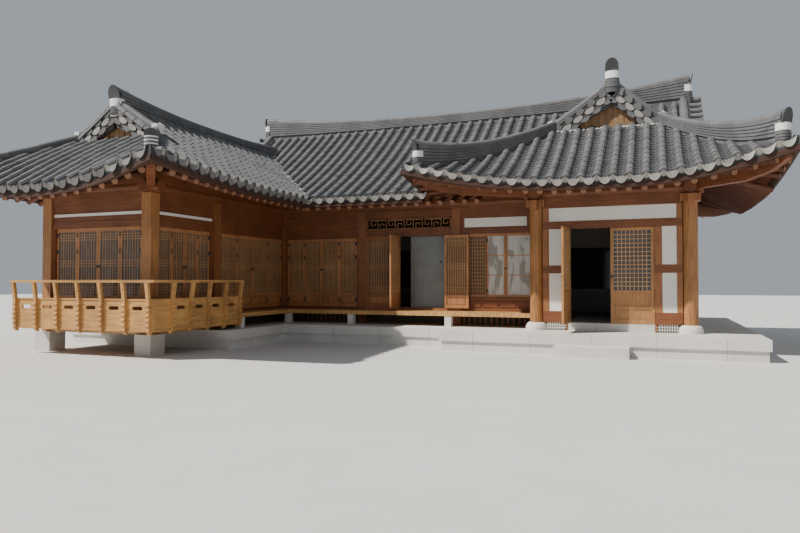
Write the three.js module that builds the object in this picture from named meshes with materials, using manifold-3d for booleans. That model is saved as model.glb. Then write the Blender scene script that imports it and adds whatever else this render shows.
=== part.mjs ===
// A U-shaped Korean house of timber, plaster and stone under grey tile roofs.
// Millimetres. +X points to the right wing, the courtyard lies at -Y, +Z is up, the ground is at Z 0.

import * as THREE from "three";
import { mergeVertices } from "three/addons/utils/BufferGeometryUtils.js";
import Module from "manifold-3d";

const wasm = await Module();
wasm.setup();

// Clearances
const GAP = 0.3;
const SWING_GAP = 6;
const LEAVES_APART = 8;

// Column lines, from the left wing's outer side to the right wing's outer side
const WEST = -6250;
const COURT = -3650;
const MIDDLE = -1320;
const PORCH = 1110;
const ENTRANCE = 3120;
const EAST = 6120;

// Column lines, from the left wing's front to the back wall
const LEFT_FRONT = -4610;
const ROOM_FRONT = -2660;
const RIGHT_FRONT = -610;
const MAIN_FRONT = 250;
const BACK = 4950;

// Heights
const COURSE_TOP = 200;
const PLATFORM_TOP = 400;
const WALL_BASE = PLATFORM_TOP + GAP;
const ENTRANCE_FLOOR = 560;
const FLOOR_TOP = 730;
const FLOOR_BOARD = 90;
const DOOR_SILL = 790;
const DOOR_HEAD = 2500;
const ENTRANCE_HEAD = 2520;
const COLUMN_TOP = 3140;
const EAVE_TOP = 3330;

// Timber and wall sections
const WALL = 120;
const ROUND_COLUMN = 284;
const LEFT_COLUMN = 232;
const MAIN_COLUMN = 214;
const PLATE = 200;
const CORNER_RAFTER = 150;
const GLASS = 12;
const LEAF = 40;
const DOOR_FRAME = 60;
const SHEET = 12;
const LET_IN = 1;
const FOLDING_STILE = 50;
const GLAZED_STILE = 55;
const TOP_RAIL = 70;
const BOTTOM_RAIL_SHARE = 1.4;

// Stone platform
const PLATFORM_MARGIN = 900;
const PLATFORM_EAST = EAST + 1230;
const PLATFORM_FRONT = RIGHT_FRONT - 1140;
const PLATFORM_RECESS = MAIN_FRONT - 1350;
const PLATFORM_LEFT_FRONT = ROOM_FRONT - 640;
const PLATFORM_CORNER = 1300;
const COPING_OVERHANG = 40;
const PIER = 390;
const PLINTH_RADIUS = 235;
const PORCH_STONE = 150;
const PORCH_STONE_OUT = 600;
const PORCH_STONE_INSET = 90;
const STEP_LEFT = 3660;
const STEP_RIGHT = 5020;
const STEP_DEPTH = 350;

// Balcony and porch boards
const FLOOR_EDGE = 670;
const FLOOR_PAST_WEST = 150;
const PORCH_EDGE = MAIN_FRONT - 790;
const PANEL_BOTTOM = 500;
const PANEL_TOP = 1080;
const RAIL_TOP = 1450;
const RAIL_OUT = 75;
const RAIL_WIDTH = 60;
const RAIL_HEIGHT = 50;
const RAIL_PANEL = 36;
const RAIL_POST = 70;

// Roof profile: a straight rise and a growing one make the hollow curve of the slopes
const RISE = 0.5;
const HOLLOW = 0.0000424;
const EAVE_THICKNESS = 160;
const CLAY_THICKNESS = 120;
const CLAY_REACH = 1300;
const MAIN_LIFT = 420;
const LEFT_LIFT = 220;
const RIGHT_LIFT = 480;
const CORNER_FLARE = 130;
const CORNER_REACH = 3200;
const FRONT_SAG = 250;
const SAG_DEPTH = 1600;
const SAG_WIDTH = 2000;
const GABLE_WALL = 120;
const VERGE_RECESS = 150;
const VERGE_DEPTH = 260;
const RECESS_START = 5;
const PAST_THE_EAVES = 40;

// Eaves, ridges and gables of the three roofs
const EAVE_WEST = WEST - 1430;
const EAVE_EAST = EAST + 1530;
const MAIN_EAVE_FRONT = MAIN_FRONT - 1300;
const MAIN_EAVE_BACK = BACK + 1300;
const MAIN_RIDGE = (MAIN_EAVE_FRONT + MAIN_EAVE_BACK) / 2;
const MAIN_RUN = MAIN_RIDGE - MAIN_EAVE_FRONT;
const LEFT_RIDGE = (WEST + COURT) / 2;
const LEFT_RUN = LEFT_RIDGE - EAVE_WEST;
const LEFT_EAVE_COURT = LEFT_RIDGE + LEFT_RUN;
const LEFT_EAVE_FRONT = LEFT_FRONT - 1600;
const RIGHT_RIDGE = (ENTRANCE + EAST) / 2;
const RIGHT_EAVE_COURT = ENTRANCE - 2420;
const RIGHT_EAVE_FRONT = RIGHT_FRONT - 1290;
const MAIN_WEST_GABLE = 2080;
const MAIN_EAST_GABLE = 1670;
const LEFT_GABLE = 1670;
const RIGHT_GABLE = 2400;

const EAST_RATIO = MAIN_RUN / (EAVE_EAST - RIGHT_RIDGE);
const RIGHT_COURT_RATIO = MAIN_RUN / (RIGHT_RIDGE - RIGHT_EAVE_COURT);
const LEFT_FRONT_RATIO = 0.85;

// Rows of cover tiles
const ROW = 284;
const ROW_RISE = 90;
const OVERRUN = 200;
const PAST_THE_ROOF = 20000;
const ABOVE_ROOFS = 9000;
const BELOW_GROUND = -50;

// Stacked ridges, with rakes down the gables and hips out to the corners
const RIDGE_WIDTH = 280;
const RIDGE_STACK = 360;
const LEFT_RIDGE_STACK = 270;
const RIDGE_OVERHANG = 100;
const LEFT_RIDGE_OVERHANG = 60;
const MAIN_RIDGE_RISE = 370;
const LEFT_RIDGE_RISE = 200;
const LEFT_RIDGE_BACK_RISE = 170;
const RIGHT_RIDGE_RISE = 280;
const RAKE_WIDTH = 220;
const RAKE_INSET = RAKE_WIDTH / 2 + 5;
const RAKE_TOP = 60;
const RAKE_FOOT = 40;
const rakeStack = { low: 270, rise: 60, curve: 4 };
const HIP_START = 60;
const HIP_END = 150;
const BAR_DEPTH = 150;
const RIDGE_STEPS = 12;
const BAR_STEPS = 8;
const RIDGE_CURVE = 2.4;
const LEFT_RIDGE_BACK = MAIN_RIDGE - 200;
const RAFTER_TIP_DEPTH = 100;

const house = new THREE.Group();

// Finishes
const finishes = {
  stone: { color: 0xd8d5cc, roughness: 0.85, metalness: 0 },
  timber: { color: 0x9c5a2c, roughness: 0.6, metalness: 0 },
  boards: { color: 0xc48a48, roughness: 0.6, metalness: 0 },
  plaster: { color: 0xece9e2, roughness: 0.9, metalness: 0 },
  lattice: { color: 0xb0713a, roughness: 0.6, metalness: 0 },
  glass: { color: 0x9fb0b4, roughness: 0.15, metalness: 0 },
  tile: { color: 0x55585c, roughness: 0.75, metalness: 0 },
};

function addNode(name, geometry, finish, parent = house) {
  const mesh = new THREE.Mesh(geometry, new THREE.MeshStandardMaterial(finishes[finish]));
  mesh.name = name;
  parent.add(mesh);
}

// Shapes

function block(x0, x1, y0, y1, z0, z1) {
  const geometry = new THREE.BoxGeometry(x1 - x0, y1 - y0, z1 - z0);
  geometry.translate((x0 + x1) / 2, (y0 + y1) / 2, (z0 + z1) / 2);
  return geometry;
}

function upright(x, y, width, z0, z1) {
  return block(x - width / 2, x + width / 2, y - width / 2, y + width / 2, z0, z1);
}

function roundPost(x, y, radius, z0, z1, sides = 20) {
  const geometry = new THREE.CylinderGeometry(radius, radius, z1 - z0, sides);
  geometry.rotateX(Math.PI / 2);
  geometry.translate(x, y, (z0 + z1) / 2);
  return geometry;
}

function outline(points) {
  return new THREE.Shape(points.map(([x, y]) => new THREE.Vector2(x, y)));
}

function rectangle(a0, a1, b0, b1) {
  return [
    [a0, b0],
    [a1, b0],
    [a1, b1],
    [a0, b1],
  ];
}

// A plate seen from above, between two heights
function slab(points, z0, z1) {
  const geometry = new THREE.ExtrudeGeometry(outline(points), { depth: z1 - z0, bevelEnabled: false });
  geometry.translate(0, 0, z0);
  return geometry;
}

function extruded(points, y0, y1) {
  const geometry = new THREE.ExtrudeGeometry(outline(points), { depth: y1 - y0, bevelEnabled: false });
  geometry.rotateX(Math.PI / 2);
  geometry.translate(0, y1, 0);
  return geometry;
}

// A plate seen from the front: points and openings are (x, z), and it lies between y0 and y1
function plateFacingFront(points, openings, y0, y1) {
  const plate = toSolid(extruded(points, y0, y1));
  if (openings.length === 0) {
    return toGeometry(plate);
  }
  return toGeometry(without(plate, openings.map((opening) => extruded(opening, y0 - 1, y1 + 1))));
}

// A plate seen from the side: points and openings are (y, z), and it lies between x0 and x1
function plateFacingSide(points, openings, x0, x1) {
  const geometry = plateFacingFront(points, openings, 0, x1 - x0);
  geometry.rotateZ(Math.PI / 2);
  geometry.translate(x1, 0, 0);
  return geometry;
}

// Solids

function toSolid(geometry) {
  const plain = geometry.clone();
  plain.deleteAttribute("normal");
  plain.deleteAttribute("uv");
  const merged = mergeVertices(plain, 1e-2);
  return new wasm.Manifold(
    new wasm.Mesh({
      numProp: 3,
      vertProperties: new Float32Array(merged.attributes.position.array),
      triVerts: new Uint32Array(merged.index.array),
    }),
  );
}

function toGeometry(solid) {
  const mesh = solid.getMesh();
  const geometry = new THREE.BufferGeometry();
  geometry.setAttribute("position", new THREE.BufferAttribute(mesh.vertProperties, 3));
  geometry.setIndex(new THREE.BufferAttribute(mesh.triVerts, 1));
  return geometry;
}

function joined(geometries) {
  return geometries.map(toSolid).reduce((sum, solid) => sum.add(solid));
}

function without(solid, geometries) {
  return solid.subtract(joined(geometries));
}

// The largest body that a cut leaves
function mainBody(solid) {
  const bodies = solid.decompose();
  return bodies.reduce((best, body) => (body.volume() > best.volume() ? body : best));
}

// Stone platform with its plinths and porch stones, the door step and two piers

function platformOutline(inset) {
  const west = WEST - PLATFORM_MARGIN + inset;
  const court = COURT + PLATFORM_MARGIN - inset;
  const leftFront = PLATFORM_LEFT_FRONT + inset;
  return [
    [west, leftFront],
    [court, leftFront],
    [court, PLATFORM_RECESS + inset],
    [PLATFORM_CORNER + inset, PLATFORM_RECESS + inset],
    [PLATFORM_CORNER + inset, PLATFORM_FRONT + inset],
    [PLATFORM_EAST - inset, PLATFORM_FRONT + inset],
    [PLATFORM_EAST - inset, BACK + PLATFORM_MARGIN - inset],
    [west, BACK + PLATFORM_MARGIN - inset],
  ];
}

function roundPlinth(x, y) {
  const height = ENTRANCE_FLOOR - PLATFORM_TOP;
  const profile = [
    [0, -1],
    [PLINTH_RADIUS, -1],
    [PLINTH_RADIUS - 3, 70],
    [PLINTH_RADIUS - 30, 130],
    [PLINTH_RADIUS - 65, height],
    [0, height],
  ];
  const geometry = new THREE.LatheGeometry(profile.map(([r, z]) => new THREE.Vector2(r, z)), 20);
  geometry.rotateX(Math.PI / 2);
  geometry.translate(x, y, PLATFORM_TOP);
  return geometry;
}

function plinthCut(x) {
  return roundPost(x, RIGHT_FRONT, PLINTH_RADIUS + 5, 0, ENTRANCE_FLOOR + GAP);
}

function buildStone() {
  const pieces = [
    slab(platformOutline(COPING_OVERHANG), 0, COURSE_TOP + 1),
    slab(platformOutline(0), COURSE_TOP, PLATFORM_TOP),
    roundPlinth(ENTRANCE, RIGHT_FRONT),
    roundPlinth(EAST, RIGHT_FRONT),
  ];
  const stones = [
    [COURT + PORCH_STONE_OUT, ROOM_FRONT + PORCH_STONE],
    [COURT + PORCH_STONE_OUT, PORCH_EDGE + PORCH_STONE_INSET],
    [MIDDLE, PORCH_EDGE + PORCH_STONE_INSET],
    [PORCH, PORCH_EDGE + PORCH_STONE_INSET],
  ];
  for (const [x, y] of stones) {
    pieces.push(upright(x, y, PORCH_STONE, PLATFORM_TOP - 5, FLOOR_TOP - FLOOR_BOARD - GAP));
  }
  const sillFront = RIGHT_FRONT - WALL / 2;
  const sillBack = RIGHT_FRONT + WALL / 2;
  const sillLow = PLATFORM_TOP - 1;
  pieces.push(block(DOOR_LEFT + GAP, DOOR_RIGHT - GAP, sillFront, sillBack, sillLow, ENTRANCE_FLOOR));
  addNode("stone_platform", toGeometry(joined(pieces)), "stone");

  const stepBack = PLATFORM_FRONT - GAP;
  const step = block(STEP_LEFT, STEP_RIGHT, stepBack - STEP_DEPTH, stepBack, 0, COURSE_TOP);
  addNode("door_step", step, "stone");
  addNode("pier_front_left", upright(WEST, LEFT_FRONT, PIER, 0, PLATFORM_TOP), "stone");
  addNode("pier_court_side", upright(COURT, LEFT_FRONT, PIER, 0, PLATFORM_TOP), "stone");
}

// Floors

function columnHole(x, y, width = LEFT_COLUMN) {
  return upright(x, y, width + 2 * GAP, 0, COLUMN_TOP);
}

function buildFloors() {
  const inner = WALL / 2 + GAP;
  const main = [
    [WEST + inner, ROOM_FRONT],
    [COURT - inner, ROOM_FRONT],
    [COURT - inner, MAIN_FRONT + inner],
    [ENTRANCE, MAIN_FRONT + inner],
    [ENTRANCE, BACK - inner],
    [WEST + inner, BACK - inner],
  ];
  const mainHoles = [
    [WEST, ROOM_FRONT],
    [WEST, MAIN_FRONT],
    [WEST, BACK],
    [COURT, ROOM_FRONT],
    [COURT, MAIN_FRONT],
    [COURT, BACK],
    [MIDDLE, MAIN_FRONT],
    [MIDDLE, BACK],
    [PORCH, MAIN_FRONT],
    [PORCH, BACK],
    [ENTRANCE, BACK],
  ];
  const mainFloor = without(
    toSolid(slab(main, WALL_BASE, FLOOR_TOP)),
    mainHoles.map(([x, y]) => columnHole(x, y)),
  );
  addNode("main_floor", toGeometry(mainFloor), "boards");

  const entrance = [
    [ENTRANCE + inner, RIGHT_FRONT + inner],
    [EAST - inner, RIGHT_FRONT + inner],
    [EAST - inner, BACK - inner],
    [ENTRANCE + GAP, BACK - inner],
    [ENTRANCE + GAP, MAIN_FRONT + inner],
    [ENTRANCE + inner, MAIN_FRONT + inner],
  ];
  const entranceFloor = without(toSolid(slab(entrance, WALL_BASE, ENTRANCE_FLOOR)), [
    columnHole(ENTRANCE, BACK),
    columnHole(EAST, BACK),
    columnHole(EAST, EAST_POST),
    plinthCut(ENTRANCE),
    plinthCut(EAST),
  ]);
  addNode("right_wing_floor", toGeometry(mainBody(entranceFloor)), "stone");
}

// The raised room's floor runs out as the balcony and lies on sill beams
function buildRaisedFloor() {
  const back = ROOM_FRONT - GAP;
  const bottom = FLOOR_TOP - FLOOR_BOARD;
  const half = LEFT_COLUMN / 2;
  const boards = rectangle(WEST - FLOOR_PAST_WEST, COURT + FLOOR_EDGE, LEFT_FRONT - FLOOR_EDGE, back);
  const pieces = [
    slab(boards, bottom, FLOOR_TOP),
    block(WEST - half, COURT + half, LEFT_FRONT - half, LEFT_FRONT + half, WALL_BASE, bottom + 1),
    block(WEST - half, WEST + half, LEFT_FRONT, back, WALL_BASE, bottom + 1),
    block(COURT - half, COURT + half, LEFT_FRONT, back, WALL_BASE, bottom + 1),
  ];
  const floor = without(joined(pieces), [
    columnHole(WEST, LEFT_FRONT),
    columnHole(COURT, LEFT_FRONT),
    columnHole(COURT, ROOM_FRONT),
    columnHole(WEST, ROOM_FRONT),
  ]);
  addNode("raised_floor", toGeometry(mainBody(floor)), "boards");
}

// Porch boards along the left wing's court side and the main front
function buildPorch() {
  const wallSide = COURT + WALL / 2 + GAP;
  const wallFront = MAIN_FRONT - WALL / 2 - GAP;
  const right = ENTRANCE - WALL / 2 - GAP;
  const points = [
    [wallSide, ROOM_FRONT],
    [COURT + FLOOR_EDGE, ROOM_FRONT],
    [COURT + FLOOR_EDGE, PORCH_EDGE],
    [right, PORCH_EDGE],
    [right, wallFront],
    [wallSide, wallFront],
  ];
  const boards = without(toSolid(slab(points, FLOOR_TOP - FLOOR_BOARD, FLOOR_TOP)), [
    columnHole(COURT, ROOM_FRONT),
    columnHole(COURT, MAIN_FRONT, MAIN_COLUMN),
    columnHole(MIDDLE, MAIN_FRONT, MAIN_COLUMN),
    columnHole(PORCH, MAIN_FRONT, MAIN_COLUMN),
    block(MIDDLE, PORCH, PORCH_FACE - GAP, MAIN_FRONT, 0, COLUMN_TOP),
    roundPost(ENTRANCE, RIGHT_FRONT, ROUND_COLUMN / 2 + 5, 0, COLUMN_TOP),
  ]);
  addNode("porch_floor", toGeometry(mainBody(boards)), "boards");
}

// Columns that show; the posts of the outer walls are part of those walls

function buildColumns() {
  const square = [
    ["column_raised_left", WEST, LEFT_FRONT, LEFT_COLUMN],
    ["column_raised_right", COURT, LEFT_FRONT, LEFT_COLUMN],
    ["column_left_wing", COURT, ROOM_FRONT, LEFT_COLUMN],
    ["column_inner_corner", COURT, MAIN_FRONT, MAIN_COLUMN],
    ["column_main_left", MIDDLE, MAIN_FRONT, MAIN_COLUMN],
    ["column_main_right", PORCH, MAIN_FRONT, MAIN_COLUMN],
  ];
  for (const [name, x, y, width] of square) {
    addNode(name, upright(x, y, width, WALL_BASE, COLUMN_TOP), "timber");
  }
  const round = [
    ["column_entrance_left", ENTRANCE],
    ["column_entrance_right", EAST],
  ];
  for (const [name, x] of round) {
    const post = roundPost(x, RIGHT_FRONT, ROUND_COLUMN / 2, ENTRANCE_FLOOR + GAP, COLUMN_TOP);
    addNode(name, post, "timber");
  }
}

// Hinges
// The axis stands in front of the wall face. side is 1 where the jamb lies at smaller x, -1 at larger x.

const HINGE_RADIUS = 9;
const HINGE_OUT = 15;
const HINGE_HEIGHT = 70;
const HINGE_INTO_WOOD = 8;
const HINGE_ARM = 14;
const HINGE_ARM_HALF = 6;
const HINGE_EDGE = 2;
const hingeShares = [0.12, 0.88];

function between(a, b, y0, y1, z0, z1) {
  return block(Math.min(a, b), Math.max(a, b), y0, y1, z0, z1);
}

function hingePins(axis, side, z0, z1) {
  const pins = [];
  for (const share of hingeShares) {
    const z = z0 + share * (z1 - z0);
    const near = axis.x - side * HINGE_RADIUS;
    pins.push(roundPost(axis.x, axis.y, HINGE_RADIUS, z - HINGE_HEIGHT, z, 12));
    const inWood = axis.y + HINGE_OUT + HINGE_INTO_WOOD;
    pins.push(between(near, axis.x, axis.y, inWood, z - HINGE_HEIGHT, z));
  }
  return pins;
}

function hingeKnuckles(axis, side, z0, z1) {
  const knuckles = [];
  const edge = axis.x + side * SWING_GAP;
  const inner = edge + side * HINGE_ARM;
  const inWood = axis.y + HINGE_OUT + HINGE_INTO_WOOD;
  for (const share of hingeShares) {
    const z = z0 + share * (z1 - z0) + GAP;
    knuckles.push(roundPost(axis.x, axis.y, HINGE_RADIUS, z, z + HINGE_HEIGHT, 12));
    const [low, high] = [axis.y - HINGE_ARM_HALF, axis.y + HINGE_ARM_HALF];
    knuckles.push(between(axis.x, inner, low, high, z, z + HINGE_HEIGHT));
    knuckles.push(between(edge + side * HINGE_EDGE, inner, axis.y, inWood, z, z + HINGE_HEIGHT));
  }
  return knuckles;
}

// The thin sheet in a frame, let into it all round
function sheet(x0, x1, middle, z0, z1) {
  const half = SHEET / 2;
  return block(x0 - LET_IN, x1 + LET_IN, middle - half, middle + half, z0 - LET_IN, z1 + LET_IN);
}

// A leaf: a frame as thick as the leaf round a thin sheet, with rows of panes split at the given heights
function leafBody(x0, x1, z0, z1, face, { thickness, splits, stile }) {
  const levels = [z0, ...splits, z1];
  const panes = [];
  for (let row = 0; row < levels.length - 1; row++) {
    const low = levels[row] + stile * (row === 0 ? BOTTOM_RAIL_SHARE : 0.5);
    const high = levels[row + 1] - stile * (row === levels.length - 2 ? 1 : 0.5);
    panes.push(rectangle(x0 + stile, x1 - stile, low, high));
  }
  return [
    plateFacingFront(rectangle(x0, x1, z0, z1), panes, face, face + thickness),
    sheet(x0 + stile, x1 - stile, face + thickness / 2, z0 + stile, z1 - stile),
  ];
}

// A leaf is made closed and then turned about its hinge axis, in degrees about +Z
function addLeaf(name, pieces, axis, degrees) {
  const turning = new THREE.Group();
  turning.position.set(axis.x, axis.y, 0);
  turning.rotation.z = THREE.MathUtils.degToRad(degrees);
  house.add(turning);
  const geometry = toGeometry(joined(pieces));
  geometry.translate(-axis.x, -axis.y, 0);
  addNode(name, geometry, "lattice", turning);
}

// Entrance of the right wing: panels beside and over a two-leaf door

const DOOR_LEFT = 3780;
const DOOR_RIGHT = 5460;
const entranceLeaf = { thickness: 45, splits: [890, 1210], stile: 60 };

function buildEntrance() {
  const front = RIGHT_FRONT - WALL / 2;
  const back = RIGHT_FRONT + WALL / 2;
  const edge = ROUND_COLUMN / 2 + GAP;
  const z0 = ENTRANCE_FLOOR + SWING_GAP;
  const z1 = ENTRANCE_HEAD - SWING_GAP;
  const leftAxis = { x: DOOR_LEFT, y: front - HINGE_OUT };
  const rightAxis = { x: DOOR_RIGHT, y: front - HINGE_OUT };
  const top = ENTRANCE_HEAD - GAP;

  const left = without(
    joined([
      block(ENTRANCE + edge, DOOR_LEFT, front, back, WALL_BASE, top),
      ...hingePins(leftAxis, 1, z0, z1),
    ]),
    [plinthCut(ENTRANCE)],
  );
  addNode("door_panel_left", toGeometry(left), "plaster");
  const right = without(
    joined([
      block(DOOR_RIGHT, EAST - edge, front, back, WALL_BASE, top),
      ...hingePins(rightAxis, -1, z0, z1),
    ]),
    [plinthCut(EAST)],
  );
  addNode("door_panel_right", toGeometry(right), "plaster");
  const head = block(ENTRANCE + edge, EAST - edge, front, back, ENTRANCE_HEAD, COLUMN_TOP);
  addNode("door_head", head, "plaster");

  const middle = (DOOR_LEFT + DOOR_RIGHT) / 2;
  const half = LEAVES_APART / 2;
  addLeaf(
    "door_leaf_left",
    [
      ...leafBody(DOOR_LEFT + SWING_GAP, middle - half, z0, z1, front, entranceLeaf),
      ...hingeKnuckles(leftAxis, 1, z0, z1),
    ],
    leftAxis,
    -93,
  );
  addLeaf(
    "door_leaf_right",
    [
      ...leafBody(middle + half, DOOR_RIGHT - SWING_GAP, z0, z1, front, entranceLeaf),
      ...hingeKnuckles(rightAxis, -1, z0, z1),
    ],
    rightAxis,
    0,
  );

  const wallStart = RIGHT_FRONT + edge;
  const wallEnd = MAIN_FRONT + WALL / 2;
  const face = WALL / 2;
  const returnWall = block(ENTRANCE - face, ENTRANCE + face, wallStart, wallEnd, WALL_BASE, COLUMN_TOP);
  addNode("return_wall", toGeometry(without(toSolid(returnWall), [plinthCut(ENTRANCE)])), "plaster");
}

// Outer walls with their posts and windows; one sheet of glass lies inside each wall's windows

const EAST_POST = MAIN_RIDGE - 450;
const WINDOW_WIDTH = 1000;
const WINDOW_SILL = 1250;
const WINDOW_HEAD = 2350;
const GLASS_LAP = 30;
const eastWindows = [750, 3500];

function windowOpening(centre) {
  return rectangle(centre - WINDOW_WIDTH / 2, centre + WINDOW_WIDTH / 2, WINDOW_SILL, WINDOW_HEAD);
}

function glassReach(centres) {
  const out = WINDOW_WIDTH / 2 + GLASS_LAP;
  return [Math.min(...centres) - out, Math.max(...centres) + out];
}

function buildOuterWalls() {
  const edge = ROUND_COLUMN / 2 + GAP;
  const half = LEFT_COLUMN / 2;
  const face = WALL / 2;
  const low = WINDOW_SILL - GLASS_LAP;
  const high = WINDOW_HEAD + GLASS_LAP;

  const eastBay = rectangle(RIGHT_FRONT + edge, BACK, WALL_BASE, COLUMN_TOP);
  const eastWall = without(
    joined([
      plateFacingSide(eastBay, eastWindows.map(windowOpening), EAST - face, EAST + face),
      upright(EAST, EAST_POST, LEFT_COLUMN, WALL_BASE, COLUMN_TOP),
      upright(EAST, BACK, LEFT_COLUMN, WALL_BASE, COLUMN_TOP),
    ]),
    [plinthCut(EAST)],
  );
  addNode("east_wall", toGeometry(eastWall), "plaster");
  const eastFace = EAST - half - GAP;
  const [e0, e1] = glassReach(eastWindows);
  addNode("east_glass", block(eastFace - GLASS, eastFace, e0, e1, low, high), "glass");

  const lines = [WEST, COURT, MIDDLE, PORCH, ENTRANCE, EAST];
  const backWindows = [];
  for (let bay = 0; bay < lines.length - 1; bay++) {
    backWindows.push((lines[bay] + lines[bay + 1]) / 2);
  }
  const backBay = rectangle(WEST, EAST - half - GAP, WALL_BASE, COLUMN_TOP);
  const backPieces = [plateFacingFront(backBay, backWindows.map(windowOpening), BACK - face, BACK + face)];
  for (const x of lines.slice(0, -1)) {
    backPieces.push(upright(x, BACK, LEFT_COLUMN, WALL_BASE, COLUMN_TOP));
  }
  addNode("back_wall", toGeometry(joined(backPieces)), "plaster");
  const [x0, x1] = glassReach(backWindows);
  const inside = BACK - half - GAP;
  addNode("back_glass", block(x0, x1, inside - GLASS, inside, low, high), "glass");

  const westBay = [
    [LEFT_FRONT + half + GAP, FLOOR_TOP + GAP],
    [ROOM_FRONT - half - GAP, FLOOR_TOP + GAP],
    [ROOM_FRONT - half - GAP, WALL_BASE + 0.1],
    [BACK - half - GAP, WALL_BASE + 0.1],
    [BACK - half - GAP, COLUMN_TOP],
    [LEFT_FRONT + half + GAP, COLUMN_TOP],
  ];
  const westWindows = [(ROOM_FRONT + MAIN_FRONT) / 2, (MAIN_FRONT + BACK) / 2];
  const westOpenings = [raisedOpening(LEFT_FRONT, ROOM_FRONT), ...westWindows.map(windowOpening)];
  const westWall = joined([
    plateFacingSide(westBay, westOpenings, WEST - face, WEST + face),
    upright(WEST, ROOM_FRONT, LEFT_COLUMN, WALL_BASE, COLUMN_TOP),
    upright(WEST, MAIN_FRONT, LEFT_COLUMN, WALL_BASE, COLUMN_TOP),
  ]);
  addNode("west_wall", toGeometry(westWall), "plaster");
  const westFace = WEST + half + GAP;
  const [w0, w1] = glassReach(westWindows);
  addNode("west_glass", block(westFace, westFace + GLASS, w0, w1, low, high), "glass");
}

// Raised room: walls of glazed doors on three sides

const GLAZED_PANEL = 350;
const LEAVES = 4;

function raisedOpening(from, to) {
  const edge = LEFT_COLUMN / 2 + DOOR_FRAME;
  return rectangle(from + edge, to - edge, DOOR_SILL, DOOR_HEAD);
}

// Glazed leaves as one frame with a pane in each leaf's upper part
function glazedLeaves(from, to) {
  const width = (to - from) / LEAVES;
  const panes = [];
  for (let leaf = 0; leaf < LEAVES; leaf++) {
    const x0 = from + leaf * width;
    const [low, high] = [DOOR_SILL + GLAZED_PANEL, DOOR_HEAD - TOP_RAIL];
    panes.push(rectangle(x0 + GLAZED_STILE, x0 + width - GLAZED_STILE, low, high));
  }
  const edge = rectangle(from, to, DOOR_SILL + GAP, DOOR_HEAD - GAP);
  const [left, right] = [from + GLAZED_STILE, to - GLAZED_STILE];
  return [
    plateFacingFront(edge, panes, 0, LEAF),
    sheet(left, right, LEAF / 2, DOOR_SILL + GLAZED_PANEL, DOOR_HEAD - TOP_RAIL),
  ];
}

function sideways(geometry, x) {
  geometry.rotateZ(Math.PI / 2);
  geometry.translate(x, 0, 0);
  return geometry;
}

function buildRaisedRoom() {
  const half = LEFT_COLUMN / 2 + GAP;
  const low = FLOOR_TOP + GAP;
  const face = WALL / 2;
  const frontBay = rectangle(WEST + half, COURT - half, low, COLUMN_TOP);
  const frontWall = plateFacingFront(
    frontBay,
    [raisedOpening(WEST, COURT)],
    LEFT_FRONT - face,
    LEFT_FRONT + face,
  );
  addNode("raised_front_wall", frontWall, "timber");
  const sideBay = rectangle(LEFT_FRONT + half, ROOM_FRONT - half, low, COLUMN_TOP);
  const sideWall = plateFacingSide(
    sideBay,
    [raisedOpening(LEFT_FRONT, ROOM_FRONT)],
    COURT - face,
    COURT + face,
  );
  addNode("raised_court_wall", sideWall, "timber");

  const inset = half + DOOR_FRAME;
  const frontDoors = toGeometry(joined(glazedLeaves(WEST + inset, COURT - inset)));
  frontDoors.translate(0, LEFT_FRONT - LEAF / 2, 0);
  addNode("raised_front_doors", frontDoors, "lattice");
  const y0 = LEFT_FRONT + inset;
  const y1 = ROOM_FRONT - inset;
  const courtDoors = toGeometry(joined(glazedLeaves(y0, y1)));
  addNode("raised_court_doors", sideways(courtDoors, COURT + LEAF / 2), "lattice");
  const outerDoors = toGeometry(joined(glazedLeaves(y0, y1)));
  addNode("raised_outer_doors", sideways(outerDoors, WEST + LEAF / 2), "lattice");
}

// Folding doors: leaves side by side, each a frame with a tall lattice field and a low panel

const FIELD_LOW = DOOR_SILL + 340;
const FIELD_HIGH = DOOR_HEAD - TOP_RAIL;
const PANEL_LOW = DOOR_SILL + 80;
const PANEL_HIGH = DOOR_SILL + 270;

function foldingLeaves(from, to) {
  const width = (to - from) / LEAVES;
  const panes = [];
  for (let leaf = 0; leaf < LEAVES; leaf++) {
    const left = from + leaf * width + FOLDING_STILE;
    const right = left + width - 2 * FOLDING_STILE;
    panes.push(rectangle(left, right, FIELD_LOW, FIELD_HIGH));
    panes.push(rectangle(left, right, PANEL_LOW, PANEL_HIGH));
  }
  const edge = rectangle(from, to, DOOR_SILL + GAP, DOOR_HEAD - GAP);
  return [
    plateFacingFront(edge, panes, 0, LEAF),
    sheet(from + FOLDING_STILE, to - FOLDING_STILE, LEAF / 2, PANEL_LOW, FIELD_HIGH),
  ];
}

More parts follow.
